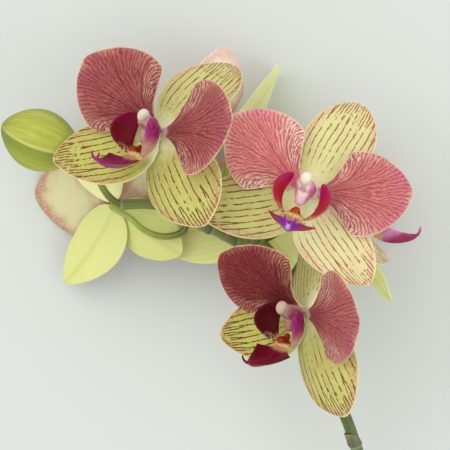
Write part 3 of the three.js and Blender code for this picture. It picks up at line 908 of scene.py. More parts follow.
# %% The lip's shape
LOBE = {
    "line": ((4.4, -12.6, 11.2), (14.6, -6, 15.4), (6.9, 5, 12.4)), "thick": 1.2,
    "front": 4.9, "back": 5.6, "root": 1.3, "tip": 0.5, "peak": 0.9, "full": 0.5,
    "splay": 22, "bow": 1.2, "rows": 44, "columns": 30,
}
MIDLOBE = {
    "line": ((0, -13.5, 11.5), (0, -19, 14), (0, -21, 24), (0, -18.8, 30.5)), "thick": 1.2,
    "root": 3, "tip": 1.1, "barb": 10.8, "barb_at": 0.38, "behind": 1.5, "ahead": 0.85,
    "curl": 3.8, "curl_power": 1.3, "keel": 1.3, "keel_width": 1.6, "rows": 60, "columns": 38,
}
TENDRIL = {
    "line": ((0.6, -18.9, 29.7), (1.4, -18.4, 31.8), (2.2, -17, 32.6), (2.6, -15.4, 32.2)),
    "root": 0.7, "tip": 0.34, "length": 5, "rounding": 0.5, "rings": 22, "sides": 12,
}
LIP_HINGE = np.array([0, -7.8, 9.3])
LIP_CLAW = {
    "line": ((0, -7.8, 9.3), (0, -12, 10.6)),
    "wide": 1.6, "high": 1.3, "length": 4.4, "rounding": 1.2, "rings": 20, "sides": 20,
}
LIP_BASE = {"centre": (0, -12.6, 11.2), "radii": (4.9, 2.1, 3)}
CALLUS = {"centre": (0, -10.7, 12.6), "radii": (2.7, 2, 2.2)}
TOOTH = {"aside": (0.8, 0, -0.3), "share": (0.6, 0.9, 1.1)}
LOBE_PART, TONGUE_PART, CALLUS_PART = 0.0, 1.0, 2.0


# %% The lip's lobes, tendrils and callus
def lobe_grid(side):
    """A drop: a bent middle line, with the blade reaching forwards and back from it."""
    s, t = unit_grid(LOBE["rows"], LOBE["columns"])
    line = bezier(LOBE["line"], s[:, 0])[:, None]
    share = leaf_share(LOBE, s)
    least = evenly(LOBE["root"], LOBE["tip"], s)
    back = -least - LOBE["back"] * share
    front = least + LOBE["front"] * share
    reach = back + (front - back) * (t + 1) / 2
    splay = np.radians(LOBE["splay"])
    x = line[..., 0] + reach * np.sin(splay) + LOBE["bow"] * share * (1 - t * t)
    z = line[..., 2] + reach * np.cos(splay)
    y = line[..., 1] + 0 * reach
    return shell(np.stack([x * side, y, z], axis=-1), s, t, LOBE["thick"])


def midlobe_grid():
    """An arrowhead along a rising line, with its barbs turned up and a keel down its middle."""
    s, t = unit_grid(MIDLOBE["rows"], MIDLOBE["columns"])
    line = bezier(MIDLOBE["line"], s[:, 0])[:, None]
    narrow = evenly(MIDLOBE["root"], MIDLOBE["tip"], s)
    at = MIDLOBE["barb_at"]
    growing = np.clip(s / at, 0, 1) ** MIDLOBE["behind"]
    tapering = np.clip((1 - s) / (1 - at), 0, 1) ** MIDLOBE["ahead"]
    share = np.where(s < at, growing, tapering)
    x = t * (narrow + (MIDLOBE["barb"] - narrow) * share)
    y = line[..., 1] + MIDLOBE["curl"] * np.abs(x / MIDLOBE["barb"]) ** MIDLOBE["curl_power"]
    z = line[..., 2] + 0 * x
    thick = MIDLOBE["thick"] + MIDLOBE["keel"] * bell(x, MIDLOBE["keel_width"])
    return shell(np.stack([x, y, z], axis=-1), s, t, thick)


def tendril_grid(side):
    """A thread that curls back, thinning towards its end."""
    u = end_heavy(TENDRIL["rings"])
    line = bezier(TENDRIL["line"], u) * (side, 1, 1)
    ends = round_ends(u, TENDRIL["length"], TENDRIL["rounding"])
    radius = evenly(TENDRIL["root"], TENDRIL["tip"], u) * ends
    return tube(line, radius, radius, TENDRIL["sides"], np.array([1.0, 0.2, 0.1]))


def callus_skin():
    """The claw, the swelling at its end and the two teeth of the callus, in one soft skin."""
    u = end_heavy(LIP_CLAW["rings"])
    ends = round_ends(u, LIP_CLAW["length"], LIP_CLAW["rounding"])
    wide, high = LIP_CLAW["wide"] * ends, LIP_CLAW["high"] * ends
    claw = tube(bezier(LIP_CLAW["line"], u), wide, high, LIP_CLAW["sides"], UP)
    swelling = knob(LIP_BASE["centre"], LIP_BASE["radii"])
    radii = np.multiply(CALLUS["radii"], TOOTH["share"])
    teeth = [
        knob(np.add(CALLUS["centre"], np.multiply(TOOTH["aside"], (side, 1, 1))), radii)
        for side in (-1, 1)
    ]
    return one_skin([claw, swelling, *teeth], relaxing=16)


# %% The lip as one shape
def outer_face(grid):
    """1 on the face of a side lobe that lies further from the column, and 0 on the other."""
    halves = np.split(np.abs(grid[..., 0]), 2, axis=1)
    is_outer = [half.mean() > (halves[0].mean() + halves[1].mean()) / 2 for half in halves]
    return np.concatenate([half * 0 + outer for half, outer in zip(halves, is_outer)], axis=1)


def lip_shape():
    """The whole lip in the flower's frame, with the part and the face that each point is on."""
    lobes = [(lobe, LOBE_PART, outer_face(lobe)) for lobe in (lobe_grid(-1), lobe_grid(1))]
    tongue = [(grid, TONGUE_PART, 0.0) for grid in (midlobe_grid(), tendril_grid(-1), tendril_grid(1))]
    pieces = []
    for grid, part, outer in lobes + tongue:
        blank = np.zeros(grid.shape[:2])
        pieces.append(as_part(grid, {"part": blank + part, "outer": blank + outer}))
    points, faces = callus_skin()
    blank = np.zeros(len(points))
    pieces.append((points, faces, {"part": blank + CALLUS_PART, "outer": blank}))
    return join_grids(pieces)


LIP_SHAPE = lip_shape()
print("a lip has", len(LIP_SHAPE[0]), "points")


def lip_mesh(flower):
    """The lip, swung about its hinge as this flower's hangs, and put in its place."""
    points, faces, notes = LIP_SHAPE
    swing = turning(*FLOWERS[flower]["lip"], 0)
    hung = (points - LIP_HINGE) @ swing.T + LIP_HINGE
    tint = np.full(len(points), LIP_TINTS[flower])
    notes = {"place": points, "tint": tint, **notes}
    return build_mesh(f"{flower}_lip", in_place(flower, hung), faces, notes)

# %% [markdown]
# ## The lip's finish
#
# Inside, the side lobes run from magenta at the top to a dark crimson, with rust near the callus
# and a pale streaked foot. Their outside is a streaked magenta that fades to a pale pinkish foot.
# The middle lobe is purple down its middle and crimson at its barbs. The callus is orange with
# dark red blotches, and cream in front. The colours follow places on the flower, so each point of
# the mesh carries its place in the flower's frame.

# %% Lip material
RUST_CENTRE = (0.0, -10.7, 13.0)


def lobe_colours(lip, place, tint, cloud, streak):
    """The colours of the side lobes: the inside, and the outside over it."""
    x, y, z = lip.parts_of(place)
    deep = lip.blend(tint, (86, 0, 12), (178, 2, 44))
    bright = lip.blend(tint.rising(0.0, 0.5), (96, 0, 18), (190, 6, 96))
    rust = (from_centre((x, y, z), RUST_CENTRE) + cloud * 4.0).falling(4.5, 8.0)
    foot = (y + cloud * 4.0).falling(-11.4, -8.6) * streak.rising(-0.08, 0.06)
    mauve = lip.blend(streak.rising(-0.1, 0.15), (140, 12, 84), (178, 66, 132))
    mauve = lip.blend((y + cloud * 5.0).falling(-9.0, -2.0), mauve, (212, 158, 136))
    outside = lip.attribute("outer") * (y + cloud * 5.0).rising(-16.0, -8.0)
    return lip.coated(
        lip.blend((y + cloud * 7.0).rising(-4.0, 4.0), deep, bright),
        (rust * 0.8, (160, 40, 14)),
        (foot * 0.85, (226, 200, 140)),
        (outside * 0.8, mauve),
    )


def tongue_colours(lip, place, tint, cloud):
    """The colours of the middle lobe and its tendrils, with a painted highlight on the keel and a
    cream root.
    """
    x, y, z = lip.parts_of(place)
    crimson = lip.blend(tint, (96, 0, 24), (156, 4, 66))
    magenta = lip.blend(tint, (160, 8, 92), (128, 8, 156))
    magenta = lip.blend(tint.rising(0.0, 0.3), (122, 0, 44), magenta)
    middle = (abs(x) + cloud * 4.0).falling(1.5, 8.0)
    # Painted highlight: a pale lilac streak down the middle of the lobe, towards its tip.
    keel_painted_highlight = (abs(x) + cloud * 2.0).falling(0.2, 1.5) * (z + cloud * 3.0).rising(25.0, 30.0)
    upper = lip.blend((y + cloud * 3.0).rising(-19.5, -16.0), (150, 12, 70), (226, 140, 196))
    return lip.coated(
        lip.blend(middle * 0.9, crimson, magenta),
        (keel_painted_highlight * tint.least(1.0) * 0.75, (226, 190, 232)),
        (tint.rising(1.2, 1.8) * 0.9, upper),
        ((z + cloud * 2.0).falling(12.5, 15.0) * 0.85, (214, 176, 120)),
    )


def callus_colours(lip, y, tint, cloud, specks):
    """The colours of the callus: orange blotched with dark red, and cream in front."""
    orange = lip.blend(tint, (176, 54, 14), (214, 78, 18))
    yolk = lip.blend(specks.rising(0.42, 0.6), (112, 14, 6), orange)
    cream = lip.blend(specks.rising(0.5, 0.6), (226, 200, 130), (180, 100, 60))
    return lip.blend((y + cloud).falling(-12.2, -10.8), yolk, cream)


def lip_finish():
    lip = Finish("lip")
    place = lip.place("place")
    x, y, z = lip.parts_of(place)
    part = lip.attribute("part")
    tint = lip.attribute("tint")
    cloud = lip.noise(place, 0.3, 3.0) - 0.5
    specks = lip.noise(place, 2.4, 2.0)
    streak = lip.noise(lip.point(x * 0.5, y * 0.35, z * 2.2), 1.0, 2.0) - 0.5
    colour = lip.coated(
        lobe_colours(lip, place, tint, cloud, streak),
        (part.rising(0.4, 0.6), tongue_colours(lip, place, tint, cloud)),
        (part.rising(1.4, 1.6), callus_colours(lip, y, tint, cloud, specks)),
    )
    lip.relief(streak + specks * 0.3, 0.25, 0.0004)
    return lip.surface(
        colour, 0.36, Subsurface_Weight=0.05, Subsurface_Scale=0.001, Specular_IOR_Level=0.24,
    )

# %% [markdown]
# ## The column
#
# Above the lip stands the column, which holds the pollen: a hood that widens from its neck, with
# a white cap at its end and a foot that comes down to the lip's hinge. Under the cap there is the
# hollow where pollen is left. It is thick and waxy, white flushed with pink, and magenta on its
# sides. It is made as the callus is, in one skin, and the hollow and the cap's crease are pressed
# into that skin afterwards, by an amount that falls off smoothly round their middles.

# %% The column's shape
HOOD = {
    "line": ((0, 0, 2.4), (0, 0.4, 7), (0, 3.4, 14.4)), "neck": 1.5, "wide": 4.9, "high": 3.4,
    "widest": 0.6, "full": 0.8, "length": 14, "rounding": 2.4, "rings": 48, "sides": 40,
}
FOOT = {
    "line": ((0, 1.2, 8.6), (0, -7.2, 9.1)), "wide": (4.5, 1.8), "high": (3, 1.4),
    "length": 9, "rounding": 1.6, "rings": 48, "sides": 32,
}
CAP = {"centre": np.array([0, 4.1, 14.4]), "radii": (2.6, 3.1, 2.7)}
HOLLOW = {"centre": np.array([0, -0.3, 12.2]), "spread": np.array([1.6, 1.3, 2.5]), "depth": 1.5}
CAP_CREASE = {"width": 0.4, "depth": 0.4}


# %% The column's hood and foot
def hood_grid():
    """The hood: its radii grow from the neck by sin(pi/2 u / widest)^full, and its ends are round."""
    u = end_heavy(HOOD["rings"])
    swell = np.sin(np.pi / 2 * u / HOOD["widest"]) ** HOOD["full"]
    ends = round_ends(u, HOOD["length"], HOOD["rounding"])
    wide = (HOOD["neck"] + (HOOD["wide"] - HOOD["neck"]) * swell) * ends
    high = (HOOD["neck"] + (HOOD["high"] - HOOD["neck"]) * swell) * ends
    return tube(bezier(HOOD["line"], u), wide, high, HOOD["sides"], np.array([0.0, 1.0, 0.0]))


def foot_grid():
    """The foot: a straight tube that narrows evenly towards the lip's hinge."""
    u = end_heavy(FOOT["rings"])
    ends = round_ends(u, FOOT["length"], FOOT["rounding"])
    wide, high = evenly(*FOOT["wide"], u) * ends, evenly(*FOOT["high"], u) * ends
    return tube(bezier(FOOT["line"], u), wide, high, FOOT["sides"], UP)


def column_shape():
    """The hood, the foot and the cap in one skin, with the hollow and the crease pressed in."""
    cap = knob(CAP["centre"], CAP["radii"], rows=30, sides=36)
    points, faces = one_skin([hood_grid(), foot_grid(), cap], relaxing=6)
    from_hollow = (points - HOLLOW["centre"]) / HOLLOW["spread"]
    points[:, 2] -= HOLLOW["depth"] * np.exp(-(from_hollow ** 2).sum(axis=1))
    above, ahead = (points - CAP["centre"])[:, 1:].T
    on_cap = np.clip(ahead / 2, 0, 1) * np.clip(above / 2 + 1.2, 0, 1)
    points[:, 2] -= CAP_CREASE["depth"] * bell(points[:, 0], CAP_CREASE["width"]) * on_cap
    return points, faces


COLUMN_SHAPE = column_shape()
print("a column has", len(COLUMN_SHAPE[0]), "points")


def column_mesh(flower):
    """The column, put in its place."""
    points, faces = COLUMN_SHAPE
    notes = {"place": points, "tint": np.full(len(points), LIP_TINTS[flower])}
    return build_mesh(f"{flower}_column", in_place(flower, points), faces, notes)


# %% The column's finish
CAP_COLOUR = {"centre": (0.0, 4.1, 14.6), "spread": (7.5, 10.5, 8.5)}


def column_finish():
    column = Finish("column")
    place = column.place("place")
    x, y, z = column.parts_of(place)
    tint = column.attribute("tint")
    cloud = column.noise(place, 0.35, 3.0) - 0.5

    blush = column.blend(tint, (194, 138, 122), (244, 222, 214))
    purple = column.blend(tint, (148, 50, 96), (204, 50, 156))
    shade = column.blend(tint, (140, 56, 74), (196, 60, 140))
    lilac = column.blend(tint, (196, 90, 150), (222, 110, 190))
    dusk = column.blend(tint, (130, 70, 60), (200, 130, 150))
    ivory = column.blend((y + cloud * 2.0).falling(2.0, 5.5) * 0.7, (240, 234, 214), (226, 200, 168))
    ivory = column.blend((tint + 0.1).rising(0.0, 0.5), (194, 168, 140), ivory)

    side = (abs(x) + cloud * 3.0).rising(1.3, 3.8)
    low = (y + cloud * 5.0).falling(-6.0, 0.5)
    neck = (z + cloud).falling(2.5, 7.0)
    above = y + 0.3
    # Painted shade: a darker, duskier colour in the hollow under the cap.
    hollow = ((x * x) * 0.4 + above * above * 0.6).falling(0.4, 1.6) * z.rising(9.5, 11.0)
    from_cap = from_centre((x, y, z), CAP_COLOUR["centre"], CAP_COLOUR["spread"])
    colour = column.coated(
        blush,
        (side * 0.7, purple),
        (low * (side * 0.4 + 0.3), shade),
        (neck * 0.7, lilac),
        (hollow * 0.6, dusk),
        ((from_cap + cloud * 0.15).falling(1.0, 1.12), ivory),
    )
    column.relief(column.noise(place, 2.5, 2.0), 0.15, 0.0003)
    return column.surface(
        colour, 0.4, Subsurface_Weight=0.1, Subsurface_Scale=0.001, Specular_IOR_Level=0.3,
    )


# %% The lip and column of each flower
# How light each lip and column is, from 0 to 1. The middle lobe of the lip marked 2 is magenta and
# pales towards its top edge.
LIP_TINTS = {"a": 0.2, "b": 1.0, "c": 0.0, "d": 0.5, "e": 0.5, "f": 0.7, "g": 2.0}
LIP_FINISH = lip_finish()
COLUMN_FINISH = column_finish()
for flower in FLOWERS:
    finish_piece(lip_mesh(flower), f"flower_{flower}_lip", LIP_FINISH)
    finish_piece(column_mesh(flower), f"flower_{flower}_column", COLUMN_FINISH)
print("lips and columns:", len(FLOWERS))

# %% [markdown]
# ## The stalk and its joints
#
# The flower stalk is smooth and round, with a ring at each joint and a small dry scale, a bract,
# wrapped round it there. Its middle line passes through listed points, on a Catmull-Rom
# curve, which goes through every point without a kink. The stalk was cut with a slanting knife: the
# rings past the cut slide back along the stalk until they lie in the cut's plane. Where it lies
# on the floor, its underside is pressed flat.

# %% The stem's surface
STEM_LINE = (
    (114, -290, 2.2), (106.5, -265, 2.2), (98.5, -238, 6.5), (87, -192, 18), (72, -138, 32),
    (59.4, -99.8, 41), (53.5, -84, 44.5), (41, -54, 48.5), (28, -24, 50), (15.3, -7.2, 50),
    (5, -7, 50), (-6, -1.5, 50), (-16.7, 3.6, 50), (-25, 8, 50), (-36, 9.6, 50), (-47.8, 9, 50),
)
STEM_NODES = (3, 5, 7, 8, 9, 10, 11, 12, 13, 15)
STEM = {
    "thick": 2.75, "thin": 2.35, "swell": 0.55, "swell_length": 1.6,
    "groove": 0.14, "groove_width": 0.35, "rings": 620, "sides": 48,
}
CUT = {"through": (107.4, -268, 2), "slant": (0.3, -0.8, 0.52)}


def through_points(points, u):
    """A Catmull-Rom curve: in each span, a cubic whose end slopes join the points on each side."""
    points = np.asarray(points, float)
    ends = 2 * points[:1] - points[1:2], 2 * points[-1:] - points[-2:-1]
    padded = np.concatenate([ends[0], points, ends[1]])
    spans = len(points) - 1
    place = np.clip(u * spans, 0, spans - NEXT_TO_NOTHING)
    i = place.astype(int)
    w = (place - i)[:, None]
    before, start, stop, after = (padded[i + k] for k in range(4))
    leave, arrive = (stop - before) / 2, (after - start) / 2
    rise = 2 * start - 2 * stop + leave + arrive
    bend = -3 * start + 3 * stop - 2 * leave - arrive
    return ((rise * w + bend) * w + leave) * w + start


def distance_from_nodes(line):
    """How far each point of the stem's line is from the nearest joint."""
    joints = np.array([STEM_LINE[node] for node in STEM_NODES], float)
    return np.linalg.norm(line[:, None] - joints[None], axis=-1).min(axis=1)


# %% The stem as rings
def stem_grid():
    """The stalk as rings round its line, cut in a slanting plane and pressed flat on the floor.

    The radius runs evenly from thick to thin. At each joint one bell curve is added to it, and a
    narrow one is taken away.
    """
    u = np.linspace(0, 1, STEM["rings"])
    line = through_points(STEM_LINE, u)
    near = distance_from_nodes(line)
    radius = evenly(STEM["thick"], STEM["thin"], u)
    radius = radius + STEM["swell"] * bell(near, STEM["swell_length"])
    radius = radius - STEM["groove"] * bell(near, STEM["groove_width"])
    last_span = np.linalg.norm(np.subtract(STEM_LINE[-1], STEM_LINE[-2])) * (len(STEM_LINE) - 1)
    radius = radius * half_ball((1 - u) * last_span / radius)
    grid = tube(line, radius, radius, STEM["sides"], UP)
    tangent = unit_rows(np.gradient(line, axis=0))
    slant = unit_rows(np.array(CUT["slant"]))
    past = np.maximum((grid - CUT["through"]) @ slant, 0) / (tangent @ slant)[:, None]
    grid = grid - tangent[:, None] * past[..., None]
    grid[..., 2] = np.maximum(grid[..., 2], 0)
    return grid, near, line


def stem_mesh():
    """The rings with the cut closed by a fan, and each point's place along and round the stalk."""
    rings, near, line = stem_grid()
    middle = rings[:1].mean(axis=1, keepdims=True) + 0 * rings[:1]
    grid = np.concatenate([middle, rings])
    row = np.maximum(np.arange(len(grid)) - 1, 0)[:, None]
    blank = np.zeros(grid.shape[:2])
    columns = STEM["sides"]
    angle = round_angles(columns)
    along = np.cumsum(np.pad(np.linalg.norm(np.diff(line, axis=0), axis=1), (1, 0)))
    stalk = [along[row] + blank, np.cos(angle) + blank, np.sin(angle) + blank]
    notes = {
        "near": near[row] + blank,
        "cut": (row == 0) + blank,
        "stalk": np.stack(stalk, axis=-1),
    }
    return build_mesh("stem_and_joints", grid, grid_faces(len(grid), columns, True), notes)

# %% [markdown]
# A bract is a small pointed scale that clasps the stalk at a joint and hides the root of what grows
# there. It is a blade bent round the stalk: a grid whose rows climb the stalk and whose columns run
# round it, narrowing to a point.

# %% Bracts
BRACT = {
    "gap": 0.4, "root": 0.3, "tip": 0.5, "thick": 0.5, "narrowing": 1.8, "rows": 26, "columns": 26,
}
SMALL_STEP = 1e-3


def bract_grid(node, facing, length, clasp):
    """A scale round the stalk at a joint. It covers clasp degrees and narrows towards its tip.

    The angle that it covers falls as sqrt(1 - s^narrowing), and it stands off the stalk a little
    more at its root and at its tip.
    """
    s, t = unit_grid(BRACT["rows"], BRACT["columns"])
    start = node / (len(STEM_LINE) - 1)
    line_here = through_points(STEM_LINE, np.array([start, start + SMALL_STEP]))
    speed = np.linalg.norm(line_here[1] - line_here[0]) / SMALL_STEP
    line = through_points(STEM_LINE, np.clip(start + s[:, 0] * length / speed, 0, 1))
    tangent = unit_rows(np.gradient(line, axis=0))
    facing = np.asarray(facing, float)
    normal = unit_rows(facing - tangent * (tangent @ facing)[:, None])
    aside = np.cross(tangent, normal)
    angle = np.radians(clasp / 2) * t * np.sqrt(1 - s ** BRACT["narrowing"])
    stalk = evenly(STEM["thick"], STEM["thin"], start)
    radius = stalk + BRACT["gap"] + BRACT["root"] * (1 - s) ** 3 + BRACT["tip"] * s ** 4
    out = normal[:, None] * np.cos(angle)[..., None] + aside[:, None] * np.sin(angle)[..., None]
    return shell(line[:, None] + out * radius[..., None], s, t, BRACT["thick"])


# Each bract's joint, the way it faces, its length and the degrees that it covers: a long one at
# each joint of the bare stalk, and a short one where each flower's stalk leaves.
BRACTS = (
    (3, (1, 0, 0.4), 11, 250), (5, (-1, 0, 0.6), 9, 250), (7, (1, 0.2, 0.4), 7, 250),
    (8, (1, 0, -0.4), 6, 240), (9, (0.2, -1, 0.5), 6, 240), (10, (0.2, 1, 0.4), 6, 240),
    (11, (0, -1, 0.4), 5.5, 230), (12, (0.2, -1, 0.3), 5.5, 230), (13, (0, 1, 0.5), 5.5, 230),
)


def bracts_mesh():
    """All the bracts, as one mesh, with how far along its bract each point is."""
    parts = []
    for spec in BRACTS:
        grid = bract_grid(*spec)
        s, _ = unit_grid(*grid.shape[:2])
        parts.append(as_part(grid, {"along": s}))
    return build_mesh("bracts", *join_grids(parts))

# %% [markdown]
# ## The flower stalks and the bud
#
# Each flower hangs on its own slender stalk, which starts in the middle of the stem at a joint and
# bends over to reach the flower from behind. Six of them are plain Bezier curves with four handles.
# The stalk of flower d, which shows under the others, follows listed points.

# %% Flower stalks
PEDICEL = {
    "base": 1.7, "middle": 1.45, "top": 1.1, "behind": 0.9, "collar": 0.25, "collar_share": 0.03,
    "ripple": 0.025, "ripple_count": 9, "rib": 0.03, "ribs": 6, "rings": 90, "sides": 30,
}
PEDICELS = {
    "a": {"joint": STEM_LINE[13], "leaving": (4, 14, 3), "arriving": 16},
    "b": {"joint": STEM_LINE[9], "leaving": (12, 3, 0), "arriving": 15},
    "c": {"joint": STEM_LINE[7], "leaving": (10, 2, 2), "arriving": 15},
    "e": {"joint": STEM_LINE[10], "leaving": (2, 9, 5), "arriving": 12},
    "f": {"joint": STEM_LINE[11], "leaving": (2, 12, 4), "arriving": 14},
    "g": {"joint": STEM_LINE[8], "leaving": (8, 3, -6), "arriving": 14},
}
PEDICEL_D = (
    STEM_LINE[12], (-18.5, -2.2, 48.5), (-22.5, -4.6, 47), (-28.5, -5.2, 45.5), (-34, -3.7, 43.5),
    (-38.8, -1, 41), (-43.4, 3.2, 38.4), (-49, 6.4, 36.6), (-52.2, 8.4, 33.6),
)
BUD_STALK = ((-46, 8.8, 50), (-58, 12.5, 50.4), (-57.4, 28.8, 51), (-64, 31.6, 51))


# %% A flower stalk's line and tube
def stalk_line(flower, u):
    """The middle of a flower's stalk, from inside the stem to just behind the flower."""
    def behind(distance):
        return in_place(flower, np.array([0, 0, -distance]))
    if flower == "d":
        return through_points([*PEDICEL_D, behind(PEDICEL["behind"])], u)
    start = np.array(PEDICELS[flower]["joint"], float)
    away = start + PEDICELS[flower]["leaving"]
    return bezier((start, away, behind(PEDICELS[flower]["arriving"]), behind(PEDICEL["behind"])), u)


def stalk_mesh(name, line, u):
    """A slender tube that thins towards the flower, with a slow ripple and six faint ribs.

    The radius runs from base to middle to top, times 1 + ripple sin(count u), and a bell curve at
    its end widens it to a collar. Round the tube it is multiplied by 1 + rib cos(6 angle).
    """
    radius = np.interp(u, (0, 0.5, 1), (PEDICEL["base"], PEDICEL["middle"], PEDICEL["top"]))
    radius = radius * (1 + PEDICEL["ripple"] * np.sin(PEDICEL["ripple_count"] * u))
    radius = radius + PEDICEL["collar"] * bell(1 - u, PEDICEL["collar_share"])
    sides = PEDICEL["sides"]
    ribs = np.cos(PEDICEL["ribs"] * round_angles(sides))
    spine = line[:, None]
    rings = tube(line, radius, radius, sides, np.array([0.1, 0.2, 0.97]))
    rings = spine + (rings - spine) * (1 + PEDICEL["rib"] * ribs)[:, None]
    grid = np.concatenate([spine[:1] + 0 * rings[:1], rings, spine[-1:] + 0 * rings[:1]])
    blank = np.zeros(grid.shape[:2])
    notes = {"along": np.concatenate([[0], u, [1]])[:, None] + blank, "rib": ribs + blank}
    return build_mesh(name, grid, grid_faces(len(grid), sides, True), notes)


# %% The bud
BUD = {
    "base": (-64.4, 31.8, 51), "length": 38.6, "toward": (-0.94, 0.34, 0), "radius": 14,
    "skew": 1.08, "full": 0.62, "ridge": 0.035, "ridges": 3, "turn": 0.34, "rows": 110, "sides": 120,
}
LAP = {"height": 0.22, "width": 0.5, "fading": 5}
STREAKS = {"round": 8, "along": 3}


def turn_from_up(toward):
    """The matrix that turns +Z to a unit vector: the shortest turn, by Rodrigues' formula."""
    axis = np.cross(UP, toward)
    across = np.array([[0, -axis[2], axis[1]], [axis[2], 0, -axis[0]], [-axis[1], axis[0], 0]])
    return np.eye(3) + across + across @ across / (1 + toward[2])


def bud_mesh():
    """A fat drop: the radius is sin(pi u^skew)^full, with three low ridges.

    Where two sepals of the closed bud meet, one laps over the other: the radius steps down over a
    short angle, and the step is stored as the seam.
    """
    u = end_heavy(BUD["rows"])[:, None]
    angle = round_angles(BUD["sides"])[None, :]
    sector = (angle - BUD["turn"]) * BUD["ridges"] / (2 * np.pi)
    from_seam = sector % 1 - 0.5
    outline = BUD["radius"] * np.sin(np.pi * u ** BUD["skew"]) ** BUD["full"]
    width = 2 * np.pi / BUD["ridges"] * np.maximum(outline, 1)
    seam = from_seam * width
    step = np.tanh(seam / LAP["width"]) * np.exp(-np.abs(seam) / LAP["fading"])
    low_ridges = BUD["ridge"] * np.cos(BUD["ridges"] * angle)
    radius = outline * (1 + low_ridges) + LAP["height"] * step * np.sin(np.pi * u)
    blank = np.zeros(radius.shape)
    local = [radius * np.cos(angle), radius * np.sin(angle), BUD["length"] * u + blank]
    turn = turn_from_up(unit_rows(np.array(BUD["toward"], float)))
    points = np.stack(local, axis=-1).reshape(-1, 3) @ turn.T + BUD["base"]
    round_bud = [STREAKS["round"] * np.cos(angle) + blank, STREAKS["round"] * np.sin(angle) + blank]
    notes = {
        "along": u + blank,
        "seam": seam,
        "stripe": np.stack([*round_bud, STREAKS["along"] * u + blank], axis=-1),
    }
    return build_mesh("bud_closed", points, grid_faces(BUD["rows"], BUD["sides"], True), notes)

# %% [markdown]
# ## The greens
#
# The stalk is a dark grey green, paler and browner at its rings, with fine streaks along it. The
# flower stalks are a fresh light green that darkens to olive where they leave the stem. The bud is
# a yellow green, streaked lengthwise, with a painted highlight along the ridge where each sepal
# laps over the next, and painted shade, a deeper green, just under it.

# %% Stem material
def stem_finish():
    stem = Finish("stem")
    near = stem.attribute("near")
    cut = stem.attribute("cut").rising(0.5, 0.9)
    along, round_x, round_y = stem.parts_of(stem.place("stalk"))
    streak = stem.noise(stem.point(along * 0.06, round_x * 3.0, round_y * 3.0), 1.0, 3.0)
    spot = stem.noise(stem.object_place(), 300.0, 3.0)
    large = stem.noise(stem.object_place(), 14.0, 2.0)
    ring = stem.blend(near.falling(0.15, 0.7), (132, 138, 104), (72, 58, 36))
    pith = stem.blend(spot.rising(0.4, 0.6), (206, 214, 160), (166, 180, 112))
    colour = stem.coated(
        stem.blend(large.rising(0.35, 0.65), (62, 74, 22), (112, 124, 48)),
        (streak.rising(0.45, 0.75) * 0.4, (132, 144, 76)),
        (spot.rising(0.62, 0.8) * 0.4, (52, 62, 38)),
        (near.falling(1.0, 2.6) * 0.85, ring),
        (cut, pith),
    )
    stem.relief(streak * 0.6 + spot * 0.4, 0.2, 0.0004)
    return stem.surface(
        colour, 0.42, Subsurface_Weight=0.06, Subsurface_Scale=0.0015, Coat_Weight=0.08,
    )


# %% Bract material
def bract_finish():
    bract = Finish("bract")
    along = bract.attribute("along")
    spot = bract.noise(bract.object_place(), 260.0, 3.0)
    colour = bract.blend(along.rising(0.1, 0.9), (96, 108, 62), (142, 130, 88))
    colour = bract.blend(spot.rising(0.4, 0.7) * 0.5, colour, (84, 80, 50))
    bract.relief(spot, 0.3, 0.0004)
    return bract.surface(colour, 0.55, Subsurface_Weight=0.05, Subsurface_Scale=0.001)


# %% Flower stalk material
def stalk_finish():
    stalk = Finish("flower_stalk")
    along = stalk.attribute("along")
    rib = stalk.attribute("rib")
    spot = stalk.noise(stalk.object_place(), 160.0, 3.0)
    large = stalk.noise(stalk.object_place(), 40.0, 2.0)
    colour = stalk.coated(
        (94, 94, 26),
        ((along + large * 0.3 - 0.15).rising(0.15, 0.6), (158, 172, 66)),
        (along.rising(0.75, 1.0) * 0.7, (206, 208, 136)),
        (rib.rising(0.2, 1.0) * 0.25, (196, 200, 112)),
        (spot.rising(0.5, 0.75) * 0.35, (96, 106, 40)),
    )
    stalk.relief(spot, 0.15, 0.0003)
    return stalk.surface(
        colour, 0.45, Subsurface_Weight=0.1, Subsurface_Scale=0.0015, Coat_Weight=0.05,
    )


# %% Bud material
def bud_finish():
    bud = Finish("bud")
    along = bud.attribute("along")
    seam = bud.attribute("seam")
    streak = bud.noise(bud.place("stripe"), 1.0, 3.0)
    spot = bud.noise(bud.object_place(), 260.0, 3.0)
    large = bud.noise(bud.object_place(), 26.0, 2.0)
    # Painted shade: a deeper green just under the edge where each sepal laps over the next.
    under = seam.falling(-0.6, 0.0) * seam.rising(-13.0, -1.0)
    colour = bud.coated(
        (174, 178, 66),
        (large.rising(0.35, 0.7), (148, 160, 50)),
        (streak.rising(0.45, 0.7) * 0.3, (204, 206, 116)),
        (streak.falling(0.32, 0.46) * 0.3, (132, 144, 46)),
        (under * 0.6, (98, 118, 30)),
        # Painted highlight: a pale line along the ridge of each lap.
        (abs(seam - 0.7).falling(0.2, 1.2) * 0.45, (214, 218, 136)),
        (along.falling(0.0, 0.3) * 0.5, (196, 196, 110)),
        (along.rising(0.86, 1.0) * 0.6, (122, 126, 52)),
        (spot.rising(0.6, 0.8) * 0.3, (126, 120, 50)),
    )
    bud.relief(streak * 0.6 + spot * 0.4, 0.2, 0.0005)
    return bud.surface(
        colour, 0.55, Subsurface_Weight=0.08, Subsurface_Scale=0.002, Specular_IOR_Level=0.3,
    )


